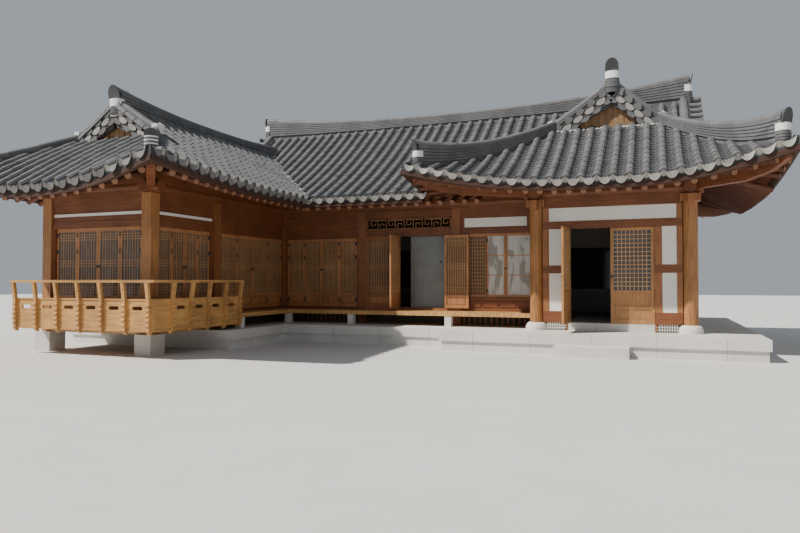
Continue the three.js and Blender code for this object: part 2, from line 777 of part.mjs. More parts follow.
function buildFoldingBays() {
  const halfMain = MAIN_COLUMN / 2 + GAP;
  const half = LEFT_COLUMN / 2 + GAP;
  const face = WALL / 2;
  const from = COURT + halfMain + DOOR_FRAME;
  const to = MIDDLE - halfMain - DOOR_FRAME;
  const mainBay = rectangle(COURT + halfMain, MIDDLE - halfMain, WALL_BASE, COLUMN_TOP);
  const mainWall = plateFacingFront(
    mainBay,
    [rectangle(from, to, DOOR_SILL, DOOR_HEAD)],
    MAIN_FRONT - face,
    MAIN_FRONT + face,
  );
  addNode("main_court_wall", mainWall, "timber");
  const mainDoors = toGeometry(joined(foldingLeaves(from + GAP, to - GAP)));
  mainDoors.translate(0, MAIN_FRONT - LEAF, 0);
  addNode("main_folding_doors", mainDoors, "lattice");

  const start = ROOM_FRONT + half + DOOR_FRAME;
  const end = MAIN_FRONT - halfMain - DOOR_FRAME;
  const sideBay = rectangle(ROOM_FRONT + half, MAIN_FRONT - halfMain, WALL_BASE, COLUMN_TOP);
  const sideWall = plateFacingSide(
    sideBay,
    [rectangle(start, end, DOOR_SILL, DOOR_HEAD)],
    COURT - face,
    COURT + face,
  );
  addNode("left_wing_court_wall", sideWall, "timber");
  const sideDoors = toGeometry(joined(foldingLeaves(start + GAP, end - GAP)));
  addNode("left_wing_folding_doors", sideways(sideDoors, COURT + LEAF), "lattice");
}

// Porch doorway: a fixed lattice leaf, then an opening with two leaves

const PORCH_FACE = MAIN_FRONT - 100;
const PORCH_DOOR_LEFT = -350;
const PORCH_DOOR_RIGHT = 840;
const PORCH_HEAD = 2520;
const FIXED_LEAF_LEFT = -1185;
const FIXED_LEAF_RIGHT = -560;
const FIXED_LEAF_RECESS = 20;
const TRANSOM_LEFT = -1160;
const TRANSOM_RIGHT = 960;
const TRANSOM_LOW = 2710;
const TRANSOM_HIGH = 2930;
const SCREEN_LEFT = -110;
const SCREEN_RIGHT = 980;
const SCREEN_THICKNESS = 30;
const SCREEN_CLEARANCE = 10;
const porchLeaf = { thickness: LEAF, splits: [1080], stile: 50 };

function buildPorchBay() {
  const half = MAIN_COLUMN / 2 + GAP;
  const back = MAIN_FRONT + WALL / 2;
  const axisY = PORCH_FACE - HINGE_OUT;
  const z0 = DOOR_SILL + SWING_GAP;
  const z1 = PORCH_HEAD - SWING_GAP;
  const leftAxis = { x: PORCH_DOOR_LEFT, y: axisY };
  const rightAxis = { x: PORCH_DOOR_RIGHT, y: axisY };
  const top = PORCH_HEAD - GAP;

  const fixed = [FIXED_LEAF_LEFT, FIXED_LEAF_RIGHT, DOOR_SILL, DOOR_HEAD];
  const left = joined([
    plateFacingFront(
      rectangle(MIDDLE + half, PORCH_DOOR_LEFT, WALL_BASE, top),
      [rectangle(...fixed)],
      PORCH_FACE,
      back,
    ),
    block(PORCH_DOOR_LEFT - LET_IN, PORCH_DOOR_RIGHT - GAP, PORCH_FACE, back, WALL_BASE, DOOR_SILL),
    ...leafBody(
      FIXED_LEAF_LEFT - LET_IN,
      FIXED_LEAF_RIGHT + LET_IN,
      DOOR_SILL - LET_IN,
      DOOR_HEAD + LET_IN,
      PORCH_FACE + FIXED_LEAF_RECESS,
      porchLeaf,
    ),
    ...hingePins(leftAxis, 1, z0, z1),
  ]);
  addNode("porch_wall_left", toGeometry(left), "timber");
  const right = joined([
    block(PORCH_DOOR_RIGHT, PORCH - half, PORCH_FACE, back, WALL_BASE, top),
    ...hingePins(rightAxis, -1, z0, z1),
  ]);
  addNode("porch_wall_right", toGeometry(right), "timber");
  const transom = rectangle(TRANSOM_LEFT, TRANSOM_RIGHT, TRANSOM_LOW, TRANSOM_HIGH);
  const head = plateFacingFront(
    rectangle(MIDDLE + half, PORCH - half, PORCH_HEAD, COLUMN_TOP),
    [transom],
    PORCH_FACE,
    back,
  );
  addNode("porch_wall_head", head, "timber");
  const middle = (PORCH_DOOR_LEFT + PORCH_DOOR_RIGHT) / 2;
  const apart = LEAVES_APART / 2;
  addLeaf(
    "porch_leaf_left",
    [
      ...leafBody(PORCH_DOOR_LEFT + SWING_GAP, middle - apart, z0, z1, PORCH_FACE, porchLeaf),
      ...hingeKnuckles(leftAxis, 1, z0, z1),
    ],
    leftAxis,
    -90,
  );
  addLeaf(
    "porch_leaf_right",
    [
      ...leafBody(middle + apart, PORCH_DOOR_RIGHT - SWING_GAP, z0, z1, PORCH_FACE, porchLeaf),
      ...hingeKnuckles(rightAxis, -1, z0, z1),
    ],
    rightAxis,
    180,
  );
  const screenY = MAIN_FRONT + LEFT_COLUMN / 2 + SCREEN_CLEARANCE;
  const screenBack = screenY + SCREEN_THICKNESS;
  const screen = block(SCREEN_LEFT, SCREEN_RIGHT, screenY, screenBack, FLOOR_TOP + GAP, PORCH_HEAD);
  addNode("inner_screen", screen, "glass");
}

// Window bay between the porch doorway and the right wing

const windowFrame = { x0: 1330, x1: 2900, z0: 1055, z1: 2530 };
const windowPanes = [
  [1370, 1800],
  [1870, 2230],
  [2330, 2840],
];
const SASH = 60;

function buildWindowBay() {
  const start = PORCH + MAIN_COLUMN / 2 + GAP;
  const end = ENTRANCE - WALL / 2 - GAP;
  const { x0, x1, z0, z1 } = windowFrame;
  const wall = plateFacingFront(
    rectangle(start, end, WALL_BASE, COLUMN_TOP),
    [rectangle(x0, x1, z0, z1)],
    MAIN_FRONT - WALL / 2,
    MAIN_FRONT + WALL / 2,
  );
  addNode("window_wall", wall, "timber");
  const frame = rectangle(x0 + GAP, x1 - GAP, z0 + GAP, z1 - GAP);
  const panes = windowPanes.map(([from, to]) => rectangle(from, to, z0 + SASH, z1 - SASH));
  const glassLeft = windowPanes[0][0];
  const glassRight = windowPanes[windowPanes.length - 1][1];
  const sash = joined([
    plateFacingFront(frame, panes, 0, LEAF),
    sheet(glassLeft, glassRight, LEAF / 2, z0 + SASH, z1 - SASH),
  ]);
  const geometry = toGeometry(sash);
  geometry.translate(0, MAIN_FRONT - LEAF, 0);
  addNode("porch_window", geometry, "lattice");
}

// Balcony railings: panels with a slot each below leaning posts and a handrail

// Outline of a leaning post as (distance from the floor edge, height)
const postOutline = [
  [0, PANEL_BOTTOM - 60],
  [60, PANEL_BOTTOM - 30],
  [80, PANEL_BOTTOM + 200],
  [76, PANEL_TOP - 130],
  [100, PANEL_TOP + 100],
  [RAIL_OUT + RAIL_WIDTH, RAIL_TOP - 45],
  [RAIL_OUT, RAIL_TOP - 45],
  [45, PANEL_TOP + 120],
  [RAIL_PANEL - LET_IN, PANEL_TOP],
  [0, PANEL_TOP],
];
const SLOT_HALF = 90;
const SLOT_RADIUS = 35;
const SLOT_HEIGHT = 930;
const SLOT_STEPS = 4;

function railPost() {
  const depth = RAIL_POST;
  const geometry = new THREE.ExtrudeGeometry(outline(postOutline), { depth, bevelEnabled: false });
  geometry.translate(0, 0, -depth / 2);
  return geometry;
}

function slotOpening(centre) {
  const points = [];
  for (const side of [1, -1]) {
    for (let step = 0; step <= SLOT_STEPS; step++) {
      const angle = (-side * Math.PI) / 2 + (Math.PI * step) / SLOT_STEPS;
      points.push([
        centre + side * SLOT_HALF + SLOT_RADIUS * Math.cos(angle),
        SLOT_HEIGHT + SLOT_RADIUS * Math.sin(angle),
      ]);
    }
  }
  return points;
}

// A railing along +X with its outer side at -Y, from the floor edge at y 0
function railing(panel, handrail, posts) {
  const slots = [];
  for (let bay = 0; bay < posts.length - 1; bay++) {
    slots.push(slotOpening((posts[bay] + posts[bay + 1]) / 2));
  }
  const outer = -RAIL_PANEL - GAP;
  const pieces = [
    plateFacingFront(rectangle(panel[0], panel[1], PANEL_BOTTOM, PANEL_TOP), slots, outer, -GAP),
    block(
      handrail[0],
      handrail[1],
      -RAIL_OUT - RAIL_WIDTH - GAP,
      -RAIL_OUT - GAP,
      RAIL_TOP - RAIL_HEIGHT,
      RAIL_TOP,
    ),
  ];
  for (const x of posts) {
    const post = railPost();
    post.rotateX(Math.PI / 2);
    post.rotateZ(-Math.PI / 2);
    post.translate(x, -GAP, 0);
    pieces.push(post);
  }
  return toGeometry(joined(pieces));
}

const POST_INSET = 40;
const FIRST_SIDE_POST = 460;

function spread(from, to, count) {
  return Array.from({ length: count }, (_, step) => from + (step * (to - from)) / (count - 1));
}

function buildRailings() {
  const west = WEST - FLOOR_PAST_WEST;
  const east = COURT + FLOOR_EDGE;
  const front = LEFT_FRONT - FLOOR_EDGE;
  const frontPosts = spread(west + POST_INSET, east - POST_INSET, 7);
  const frontPanel = [west, east + GAP + RAIL_PANEL];
  const frontRail = railing(frontPanel, [west, east + RAIL_OUT + RAIL_WIDTH], frontPosts);
  frontRail.translate(0, front, 0);
  addNode("balcony_front_railing", frontRail, "timber");

  const length = ROOM_FRONT - GAP - front;
  const sidePosts = spread(FIRST_SIDE_POST, length - POST_INSET, 5);
  const sideRail = railing([0, length], [-RAIL_OUT, length], sidePosts);
  sideRail.rotateZ(Math.PI / 2);
  sideRail.translate(east, front, 0);
  addNode("balcony_side_railing", sideRail, "timber");
}

// Roofs
// A side is one eave with its slope: the slope rises with the distance from the eave. A roof has two long
// slopes and hip slopes at its free ends, each with its gable line; past that only the long slopes count.

// Lines along an eave, each with its rise: tops of cover tile rows with the hollows between them
function rowLines(marks) {
  const lines = [[marks[0] - OVERRUN, ROW_RISE]];
  for (let part = 0; part < marks.length - 1; part++) {
    const count = Math.round((marks[part + 1] - marks[part]) / ROW);
    const half = (marks[part + 1] - marks[part]) / count / 2;
    for (let line = 0; line < 2 * count; line++) {
      lines.push([marks[part] + line * half, line % 2 === 0 ? ROW_RISE : 0]);
    }
  }
  const last = marks[marks.length - 1];
  lines.push([last, ROW_RISE], [last + OVERRUN, ROW_RISE]);
  return lines;
}

// axis 0 is a slope that rises along X and axis 1 one that rises along Y. gain turns a plan length into
// the distance, and is negative where the distance grows as the coordinate falls.
function eaveSide(axis, at, gain, marks) {
  const out = [0, 0];
  out[axis] = -Math.sign(gain);
  return {
    axis,
    out,
    ratio: Math.abs(gain),
    rows: rowLines(marks),
    distance: (x, y) => ((axis === 0 ? x : y) - at) * gain,
    coordinate: (distance) => at + distance / gain,
  };
}

const mainWest = eaveSide(0, EAVE_WEST, 1, [LEFT_EAVE_FRONT, MAIN_EAVE_FRONT, MAIN_EAVE_BACK]);
const mainEast = eaveSide(0, EAVE_EAST, -EAST_RATIO, [RIGHT_EAVE_FRONT, MAIN_EAVE_FRONT, MAIN_EAVE_BACK]);
const mainSouth = eaveSide(1, MAIN_EAVE_FRONT, 1, [EAVE_WEST, EAVE_EAST]);
const mainNorth = eaveSide(1, MAIN_EAVE_BACK, -1, [EAVE_WEST, EAVE_EAST]);
const leftEast = eaveSide(0, LEFT_EAVE_COURT, -1, [LEFT_EAVE_FRONT, MAIN_RIDGE]);
const leftSouth = eaveSide(1, LEFT_EAVE_FRONT, LEFT_FRONT_RATIO, [EAVE_WEST, LEFT_EAVE_COURT]);
const rightWest = eaveSide(0, RIGHT_EAVE_COURT, RIGHT_COURT_RATIO, [RIGHT_EAVE_FRONT, MAIN_RIDGE]);
const rightSouth = eaveSide(1, RIGHT_EAVE_FRONT, 1, [RIGHT_EAVE_COURT, EAVE_EAST]);

// Neighbouring slopes in one plane share the first distances, so that they meet without a step
const sharedSteps = [0, 250, 600, 1050, LEFT_GABLE, MAIN_WEST_GABLE];
const mainSteps = [...sharedSteps, 2600, 3200, MAIN_RUN];
const leftSteps = [...sharedSteps, LEFT_RUN];
const rightSteps = [...sharedSteps, RIGHT_GABLE, 3200, MAIN_RUN];

function inOrder(side, steps) {
  return steps.map((step) => side.coordinate(step)).sort((a, b) => a - b);
}

const mainRoof = {
  slopes: [mainSouth, mainNorth],
  hips: [mainWest, mainEast],
  corners: [
    [mainNorth, mainWest],
    [mainNorth, mainEast],
  ],
  gables: [MAIN_WEST_GABLE, MAIN_EAST_GABLE],
  lift: MAIN_LIFT,
  sag: 0,
  hipStack: { low: 270, rise: 150, curve: 4 },
  run: MAIN_RUN,
  steps: mainSteps,
  xs: [...inOrder(mainWest, mainSteps), ...inOrder(mainEast, mainSteps)],
  ys: [...inOrder(mainSouth, mainSteps), ...inOrder(mainNorth, mainSteps.slice(0, -1))],
  middle: [0, MAIN_RIDGE],
};

const leftRoof = {
  slopes: [mainWest, leftEast],
  hips: [leftSouth],
  corners: [
    [leftSouth, mainWest],
    [leftSouth, leftEast],
  ],
  gables: [LEFT_GABLE],
  lift: LEFT_LIFT,
  sag: FRONT_SAG,
  hipStack: { low: 250, rise: 140, curve: 14 },
  run: LEFT_RUN,
  steps: leftSteps,
  xs: [...inOrder(mainWest, leftSteps), ...inOrder(leftEast, leftSteps.slice(0, -1))],
  ys: [...inOrder(leftSouth, [...leftSteps, CORNER_REACH]), MAIN_EAVE_FRONT, MAIN_RIDGE],
  middle: [LEFT_RIDGE, MAIN_RIDGE],
};

const rightRoof = {
  slopes: [rightWest, mainEast],
  hips: [rightSouth],
  corners: [
    [rightSouth, rightWest],
    [rightSouth, mainEast],
  ],
  gables: [RIGHT_GABLE],
  lift: RIGHT_LIFT,
  sag: 0,
  hipStack: { low: 300, rise: 300, curve: 1.2 },
  run: MAIN_RUN,
  steps: rightSteps,
  xs: [...inOrder(rightWest, rightSteps), ...inOrder(mainEast, rightSteps.slice(0, -1))],
  ys: [...inOrder(rightSouth, rightSteps), MAIN_RIDGE],
  middle: [RIGHT_RIDGE, MAIN_RIDGE],
};

const roofs = [mainRoof, leftRoof, rightRoof];

function fromEave(side, x, y) {
  return Math.max(0, side.distance(x, y));
}

function cornerShare(roof, x, y) {
  return roof.corners.map(([a, b]) => {
    const nearA = Math.max(0, 1 - fromEave(a, x, y) / CORNER_REACH);
    const nearB = Math.max(0, 1 - fromEave(b, x, y) / CORNER_REACH);
    return nearA * nearA * nearB * nearB;
  });
}

function slopeHeight(distance) {
  return EAVE_TOP + RISE * distance + HOLLOW * distance * distance;
}

// What an eave hangs lower between its corners
function eaveSag(roof, x, y) {
  const near = Math.max(0, 1 - fromEave(roof.hips[0], x, y) / SAG_DEPTH);
  const side = Math.min(1, ...roof.slopes.map((slope) => fromEave(slope, x, y) / SAG_WIDTH));
  return roof.sag * near * near * (1 - (1 - side) * (1 - side));
}

function cornerRise(roof, x, y) {
  const shares = cornerShare(roof, x, y).reduce((sum, share) => sum + share, 0);
  return roof.lift * shares - eaveSag(roof, x, y);
}

// Height of the hollows between the rows over a plan point
function tileTop(roof, x, y, hipped) {
  const counted = hipped ? [...roof.slopes, ...roof.hips] : roof.slopes;
  const distance = Math.min(...counted.map((side) => fromEave(side, x, y)));
  return slopeHeight(distance) + cornerRise(roof, x, y);
}

// Height of the roof's underside
function tileUnderside(roof, x, y, hipped) {
  const counted = hipped ? [...roof.slopes, ...roof.hips] : roof.slopes;
  const distance = Math.min(...counted.map((side) => fromEave(side, x, y)));
  const clay = CLAY_THICKNESS * Math.min(1, distance / CLAY_REACH);
  return tileTop(roof, x, y, hipped) - EAVE_THICKNESS - clay;
}

// Corners run out past the straight eaves
function flared(roof, x, y) {
  const shares = cornerShare(roof, x, y);
  let [fx, fy] = [x, y];
  roof.corners.forEach(([a, b], corner) => {
    fx += CORNER_FLARE * shares[corner] * (a.out[0] + b.out[0]);
    fy += CORNER_FLARE * shares[corner] * (a.out[1] + b.out[1]);
  });
  return [fx, fy];
}

// A solid from a flat base up to a height at each grid point. Its cells are split along the hips.
function heap(roof, xs, ys, base, height, spread = 0) {
  const positions = [];
  const index = [];
  const across = xs.length;
  const last = [across - 1, ys.length - 1];
  for (const level of [0, 1]) {
    ys.forEach((y, j) => {
      xs.forEach((x, i) => {
        const [fx, fy] = flared(roof, x, y);
        const ex = i === 0 ? -spread : i === last[0] ? spread : 0;
        const ey = j === 0 ? -spread : j === last[1] ? spread : 0;
        positions.push(fx + ex, fy + ey, level === 0 ? base : height(x, y));
      });
    });
  }
  const at = (i, j, level) => level * across * ys.length + j * across + i;
  const wall = (a, b, c, d) => index.push(a, b, c, a, c, d);
  for (let i = 0; i < last[0]; i++) {
    for (let j = 0; j < last[1]; j++) {
      const rising = xs[i] < roof.middle[0] === ys[j] < roof.middle[1];
      const top = [at(i, j, 1), at(i + 1, j, 1), at(i + 1, j + 1, 1), at(i, j + 1, 1)];
      const low = [at(i, j, 0), at(i + 1, j, 0), at(i + 1, j + 1, 0), at(i, j + 1, 0)];
      const [a, b, c, d] = top;
      const [e, f, g, h] = low;
      if (rising) {
        index.push(a, b, c, a, c, d);
      } else {
        index.push(a, b, d, b, c, d);
      }
      index.push(e, g, f, e, h, g);
    }
  }
  for (let i = 0; i < last[0]; i++) {
    wall(at(i, 0, 0), at(i + 1, 0, 0), at(i + 1, 0, 1), at(i, 0, 1));
    wall(at(i + 1, last[1], 0), at(i, last[1], 0), at(i, last[1], 1), at(i + 1, last[1], 1));
  }
  for (let j = 0; j < last[1]; j++) {
    wall(at(0, j + 1, 0), at(0, j, 0), at(0, j, 1), at(0, j + 1, 1));
    wall(at(last[0], j, 0), at(last[0], j + 1, 0), at(last[0], j + 1, 1), at(last[0], j, 1));
  }
  const geometry = new THREE.BufferGeometry();
  geometry.setAttribute("position", new THREE.Float32BufferAttribute(positions, 3));
  geometry.setIndex(index);
  return toSolid(geometry);
}

// Grid lines inside the gable lines, moved in by an inset
function insideGables(roof, inset) {
  const along = roof === mainRoof ? "x" : "y";
  const lines = along === "x" ? roof.xs : roof.ys;
  const far = (value) =>
    roof.hips.every((hip, end) => {
      const point = along === "x" ? [value, 0] : [0, value];
      return hip.distance(...point) >= roof.gables[end] - 0.5;
    });
  const kept = lines.filter(far);
  kept[0] += inset;
  if (along === "x") {
    kept[kept.length - 1] -= inset;
  }
  return along === "x" ? [kept, roof.ys] : [roof.xs, kept];
}

// The space under one side's slope with its rows, run on past the eaves and over the ridge
function underSlope(roof, side, above) {
  const lines = side.rows.map(([line]) => line);
  const rises = new Map(side.rows);
  const steps = inOrder(side, [-OVERRUN, ...roof.steps, PAST_THE_ROOF]);
  const height = (x, y) => {
    const distance = Math.min(fromEave(side, x, y), roof.run + OVERRUN);
    const rise = rises.get(side.axis === 0 ? y : x);
    return slopeHeight(distance) + cornerRise(roof, x, y) + rise + above;
  };
  const [xs, ys] = side.axis === 0 ? [steps, lines] : [lines, steps];
  return heap(roof, xs, ys, BELOW_GROUND, height);
}

function underSlopes(roof, counted, above) {
  return counted.map((side) => underSlope(roof, side, above)).reduce((sum, solid) => sum.intersect(solid));
}

// The upright space between a roof's gable lines
function betweenGables(roof, above) {
  const low = [-PAST_THE_ROOF, -PAST_THE_ROOF];
  const high = [PAST_THE_ROOF, PAST_THE_ROOF];
  roof.hips.forEach((hip, end) => {
    const edge = hip.out[hip.axis] < 0 ? low : high;
    edge[hip.axis] = hip.coordinate(roof.gables[end] - above);
  });
  return toSolid(block(low[0], high[0], low[1], high[1], BELOW_GROUND, ABOVE_ROOFS));
}

// The space under the rows of a whole roof, in its own plan
function underRows(roof, above) {
  const plan = heap(roof, roof.xs, roof.ys, 0, () => ABOVE_ROOFS);
  const ends = underSlopes(roof, roof.hips, above).add(betweenGables(roof, above));
  return underSlopes(roof, roof.slopes, above).intersect(ends).intersect(plan);
}

// The space under a plain surface that lies a given height above the hollows or below the underside
function underTiles(roof, above) {
  const hipped = heap(roof, roof.xs, roof.ys, 0, (x, y) => tileTop(roof, x, y, true) + above);
  const [xs, ys] = insideGables(roof, -above);
  return hipped.add(heap(roof, xs, ys, 0, (x, y) => tileTop(roof, x, y, false) + above));
}

function underRoof(roof, below) {
  const level = (hipped) => (x, y) => tileUnderside(roof, x, y, hipped) - below;
  const hipped = heap(roof, roof.xs, roof.ys, BELOW_GROUND, level(true), PAST_THE_EAVES);
  const [xs, ys] = insideGables(roof, VERGE_RECESS + GABLE_WALL);
  return hipped.add(heap(roof, xs, ys, BELOW_GROUND, level(false)));
}

// The strip under the verge in front of each gable wall, from just outside the gable line
function vergeRecess(roof) {
  const low = underSlopes(roof, [...roof.slopes, ...roof.hips], 0);
  const [xs, ys] = insideGables(roof, -RECESS_START);
  const [innerXs, innerYs] = insideGables(roof, VERGE_RECESS);
  const whole = heap(roof, xs, ys, 0, (x, y) => tileTop(roof, x, y, false) - VERGE_DEPTH);
  const inner = heap(roof, innerXs, innerYs, BELOW_GROUND, () => ABOVE_ROOFS);
  return whole.subtract(inner).subtract(low);
}

function roofShell(roof) {
  return underRows(roof, 0).subtract(underRoof(roof, 0)).subtract(vergeRecess(roof));
}

// The rows stop short of the ridges
function buildRoofs() {
  const under = underRows(mainRoof, GAP);
  const shells = [
    ["roof_main", roofShell(mainRoof).subtract(underRoof(leftRoof, GAP)).subtract(underRoof(rightRoof, GAP))],
    ["roof_left_wing", roofShell(leftRoof).subtract(under)],
    ["roof_right_wing", roofShell(rightRoof).subtract(under)],
  ];
  const bars = Object.values(ridgeBars(GAP)).flat();
  const ridges = roofs.reduce((solid, roof) => solid.subtract(underTiles(roof, 0)), joined(bars));
  for (const [name, shell] of shells) {
    addNode(name, toGeometry(mainBody(shell.subtract(ridges))), "tile");
  }
}

// A bar of stacked tiles along a path of [x, y, low, high] points, larger all round by the margin
function stackedBar(path, width, margin) {
  const positions = [];
  const index = [];
  const half = width / 2 + margin;
  path.forEach(([px, py, low, high], step) => {
    const before = path[Math.max(0, step - 1)];
    const after = path[Math.min(path.length - 1, step + 1)];
    const length = Math.hypot(after[0] - before[0], after[1] - before[1]);
    const ux = (after[0] - before[0]) / length;
    const uy = (after[1] - before[1]) / length;
    const past = step === 0 ? -margin : step === path.length - 1 ? margin : 0;
    const [x, y] = [px + ux * past, py + uy * past];
    const [nx, ny] = [uy * half, -ux * half];
    const [z0, z1] = [low - margin, high + margin];
    positions.push(x - nx, y - ny, z0, x + nx, y + ny, z0, x + nx, y + ny, z1, x - nx, y - ny, z1);
  });
  const quad = (a, b, c, d) => index.push(a, b, c, a, c, d);
  for (let step = 0; step < path.length - 1; step++) {
    for (let side = 0; side < 4; side++) {
      const next = (side + 1) % 4;
      quad(step * 4 + side, step * 4 + 4 + side, step * 4 + 4 + next, step * 4 + next);
    }
  }
  const end = (path.length - 1) * 4;
  quad(0, 1, 2, 3);
  quad(end + 3, end + 2, end + 1, end);
  const geometry = new THREE.BufferGeometry();
  geometry.setAttribute("position", new THREE.Float32BufferAttribute(positions, 3));
  geometry.setIndex(index);
  return geometry;
}

// A ridge along a line, rising by the given heights towards its ends
function ridgeBar(from, to, bottom, stack, startRise, endRise, margin) {
  const path = [];
  for (let step = 0; step <= RIDGE_STEPS; step++) {
    const share = step / RIDGE_STEPS;
    const start = startRise * Math.max(0, 1 - share * 2) ** RIDGE_CURVE;
    const end = endRise * Math.max(0, share * 2 - 1) ** RIDGE_CURVE;
    const x = from[0] + share * (to[0] - from[0]);
    const y = from[1] + share * (to[1] - from[1]);
    path.push([x, y, bottom - BAR_DEPTH, bottom + stack + start + end]);
  }
  return stackedBar(path, RIDGE_WIDTH, margin);
}

// A bar on the roof along a straight plan line, higher at its far end
function surfaceBar(roof, from, to, hipped, stack, margin) {
  const path = [];
  for (let step = 0; step <= BAR_STEPS; step++) {
    const share = step / BAR_STEPS;
    const x = from[0] + share * (to[0] - from[0]);
    const y = from[1] + share * (to[1] - from[1]);
    const [fx, fy] = hipped ? flared(roof, x, y) : [x, y];
    const top = tileTop(roof, x, y, hipped);
    path.push([fx, fy, top - BAR_DEPTH, top + stack.low + stack.rise * share ** stack.curve]);
  }
  return stackedBar(path, RAKE_WIDTH, margin);
}

// The plan point at the given distances from a long side's eave and an end's eave
function pointAt(long, end, longDistance, endDistance) {
  const point = [0, 0];
  point[long.axis] = long.coordinate(longDistance);
  point[end.axis] = end.coordinate(endDistance);
  return point;
}

function rakesAndHips(roof, margin) {
  const bars = [];
  roof.hips.forEach((end, index) => {
    const gable = roof.gables[index];
    const inset = gable + RAKE_INSET * end.ratio;
    for (const long of roof.slopes) {
      const top = pointAt(long, end, roof.run - RAKE_TOP, inset);
      const foot = pointAt(long, end, gable - RAKE_FOOT, inset);
      bars.push(surfaceBar(roof, top, foot, false, rakeStack, margin));
      const isCorner = roof.corners.some((corner) => corner.includes(long) && corner.includes(end));
      if (isCorner) {
        const start = pointAt(long, end, gable + HIP_START, gable + HIP_START);
        const tip = pointAt(long, end, HIP_END, HIP_END);
        bars.push(surfaceBar(roof, start, tip, true, roof.hipStack, margin));
      }
    }
  });
  return bars;
}

// The ridge of each roof with its rakes and hips
function ridgeBars(margin) {
  const high = slopeHeight(MAIN_RUN);
  const low = slopeHeight(LEFT_RUN);
  const mainStart = [mainWest.coordinate(MAIN_WEST_GABLE) - RIDGE_OVERHANG, MAIN_RIDGE];
  const mainEnd = [mainEast.coordinate(MAIN_EAST_GABLE) + RIDGE_OVERHANG, MAIN_RIDGE];
  const leftStart = [LEFT_RIDGE, leftSouth.coordinate(LEFT_GABLE) - LEFT_RIDGE_OVERHANG];
  const rightStart = [RIGHT_RIDGE, rightSouth.coordinate(RIGHT_GABLE) - RIDGE_OVERHANG];
  const leftEnd = [LEFT_RIDGE, LEFT_RIDGE_BACK];
  const rightEnd = [RIGHT_RIDGE, MAIN_RIDGE - RIDGE_WIDTH / 2 - GAP];
  return {
    ridge_main: [
      ridgeBar(mainStart, mainEnd, high, RIDGE_STACK, MAIN_RIDGE_RISE, MAIN_RIDGE_RISE, margin),
      ...rakesAndHips(mainRoof, margin),
    ],
    ridge_left_wing: [
      ridgeBar(leftStart, leftEnd, low, LEFT_RIDGE_STACK, LEFT_RIDGE_RISE, LEFT_RIDGE_BACK_RISE, margin),
      ...rakesAndHips(leftRoof, margin),
    ],
    ridge_right_wing: [
      ridgeBar(rightStart, rightEnd, high, RIDGE_STACK, RIGHT_RIDGE_RISE, 0, margin),
      ...rakesAndHips(rightRoof, margin),
    ],
  };
}

function buildRidges() {
  const tops = roofs.map((roof) => underTiles(roof, GAP));
  for (const [name, pieces] of Object.entries(ridgeBars(0))) {
    const bar = tops.reduce((solid, top) => solid.subtract(top), joined(pieces));
    addNode(name, toGeometry(mainBody(bar)), "tile");
  }
}

// Beams over the walls, closed up to the roofs, with the corner rafters that carry the roof corners

function beamBand(points) {
  const bands = [];
  for (let step = 0; step < points.length - 1; step++) {
    const [ax, ay] = points[step];
    const [bx, by] = points[step + 1];
    const half = PLATE / 2;
    bands.push(
      block(
        Math.min(ax, bx) - half,
        Math.max(ax, bx) + half,
        Math.min(ay, by) - half,
        Math.max(ay, by) + half,
        COLUMN_TOP + GAP,
        ABOVE_ROOFS,
      ),
    );
  }
  return joined(bands);
}

// The curved underside of a corner rafter as (share of its length, share of its rise)
const RAFTER_START = 80;
const rafterUnderside = [
  [0, 0],
  [0.6, 0.08],
  [0.85, 0.44],
  [1, 1],
];

function cornerRafter(from, roof, long, end) {
  const tip = pointAt(long, end, HIP_END, HIP_END);
  const to = flared(roof, ...tip);
  const length = Math.hypot(to[0] - from[0], to[1] - from[1]);
  const start = COLUMN_TOP + RAFTER_START;
  const rise = tileUnderside(roof, ...tip, true) - RAFTER_TIP_DEPTH - start;
  const shape = outline([
    ...rafterUnderside.map(([along, risen]) => [length * along, start + rise * risen]),
    [length, ABOVE_ROOFS],
    [0, ABOVE_ROOFS],
  ]);
  const geometry = new THREE.ExtrudeGeometry(shape, { depth: CORNER_RAFTER, bevelEnabled: false });
  geometry.translate(0, 0, -CORNER_RAFTER / 2);
  geometry.rotateX(Math.PI / 2);
  geometry.rotateZ(Math.atan2(to[1] - from[1], to[0] - from[0]));
  geometry.translate(from[0], from[1], 0);
  return toSolid(geometry);
}

function buildBeams() {
  const space = roofs.map((roof) => underRoof(roof, 2 * GAP));
  const under = space.reduce((sum, solid) => sum.add(solid));
  const clear = PLATE + GAP;
  const fit = (solid) => toGeometry(mainBody(solid.intersect(under)));

  const main = beamBand([
    [COURT, MAIN_FRONT],
    [ENTRANCE, MAIN_FRONT],
  ]);
  const mainBack = beamBand([
    [WEST, MAIN_FRONT],
    [WEST, BACK],
    [EAST, BACK],
    [EAST, MAIN_FRONT],
  ])
    .add(cornerRafter([WEST, BACK], mainRoof, mainNorth, mainWest))
    .add(cornerRafter([EAST, BACK], mainRoof, mainNorth, mainEast));
  const left = beamBand([
    [WEST, MAIN_FRONT - clear],
    [WEST, LEFT_FRONT],
    [COURT, LEFT_FRONT],
    [COURT, MAIN_FRONT - clear],
  ])
    .add(cornerRafter([WEST, LEFT_FRONT], leftRoof, mainWest, leftSouth))
    .add(cornerRafter([COURT, LEFT_FRONT], leftRoof, leftEast, leftSouth));
  const right = beamBand([
    [ENTRANCE, MAIN_FRONT - clear],
    [ENTRANCE, RIGHT_FRONT],
    [EAST, RIGHT_FRONT],
    [EAST, MAIN_FRONT - clear],
  ])
    .add(cornerRafter([ENTRANCE, RIGHT_FRONT], rightRoof, rightWest, rightSouth))
    .add(cornerRafter([EAST, RIGHT_FRONT], rightRoof, mainEast, rightSouth));
  addNode("beams_main_front", fit(main), "timber");
  addNode("beams_back", fit(mainBack), "timber");
  addNode("beams_left_wing", fit(left), "timber");
  addNode("beams_right_wing", fit(right), "timber");
}

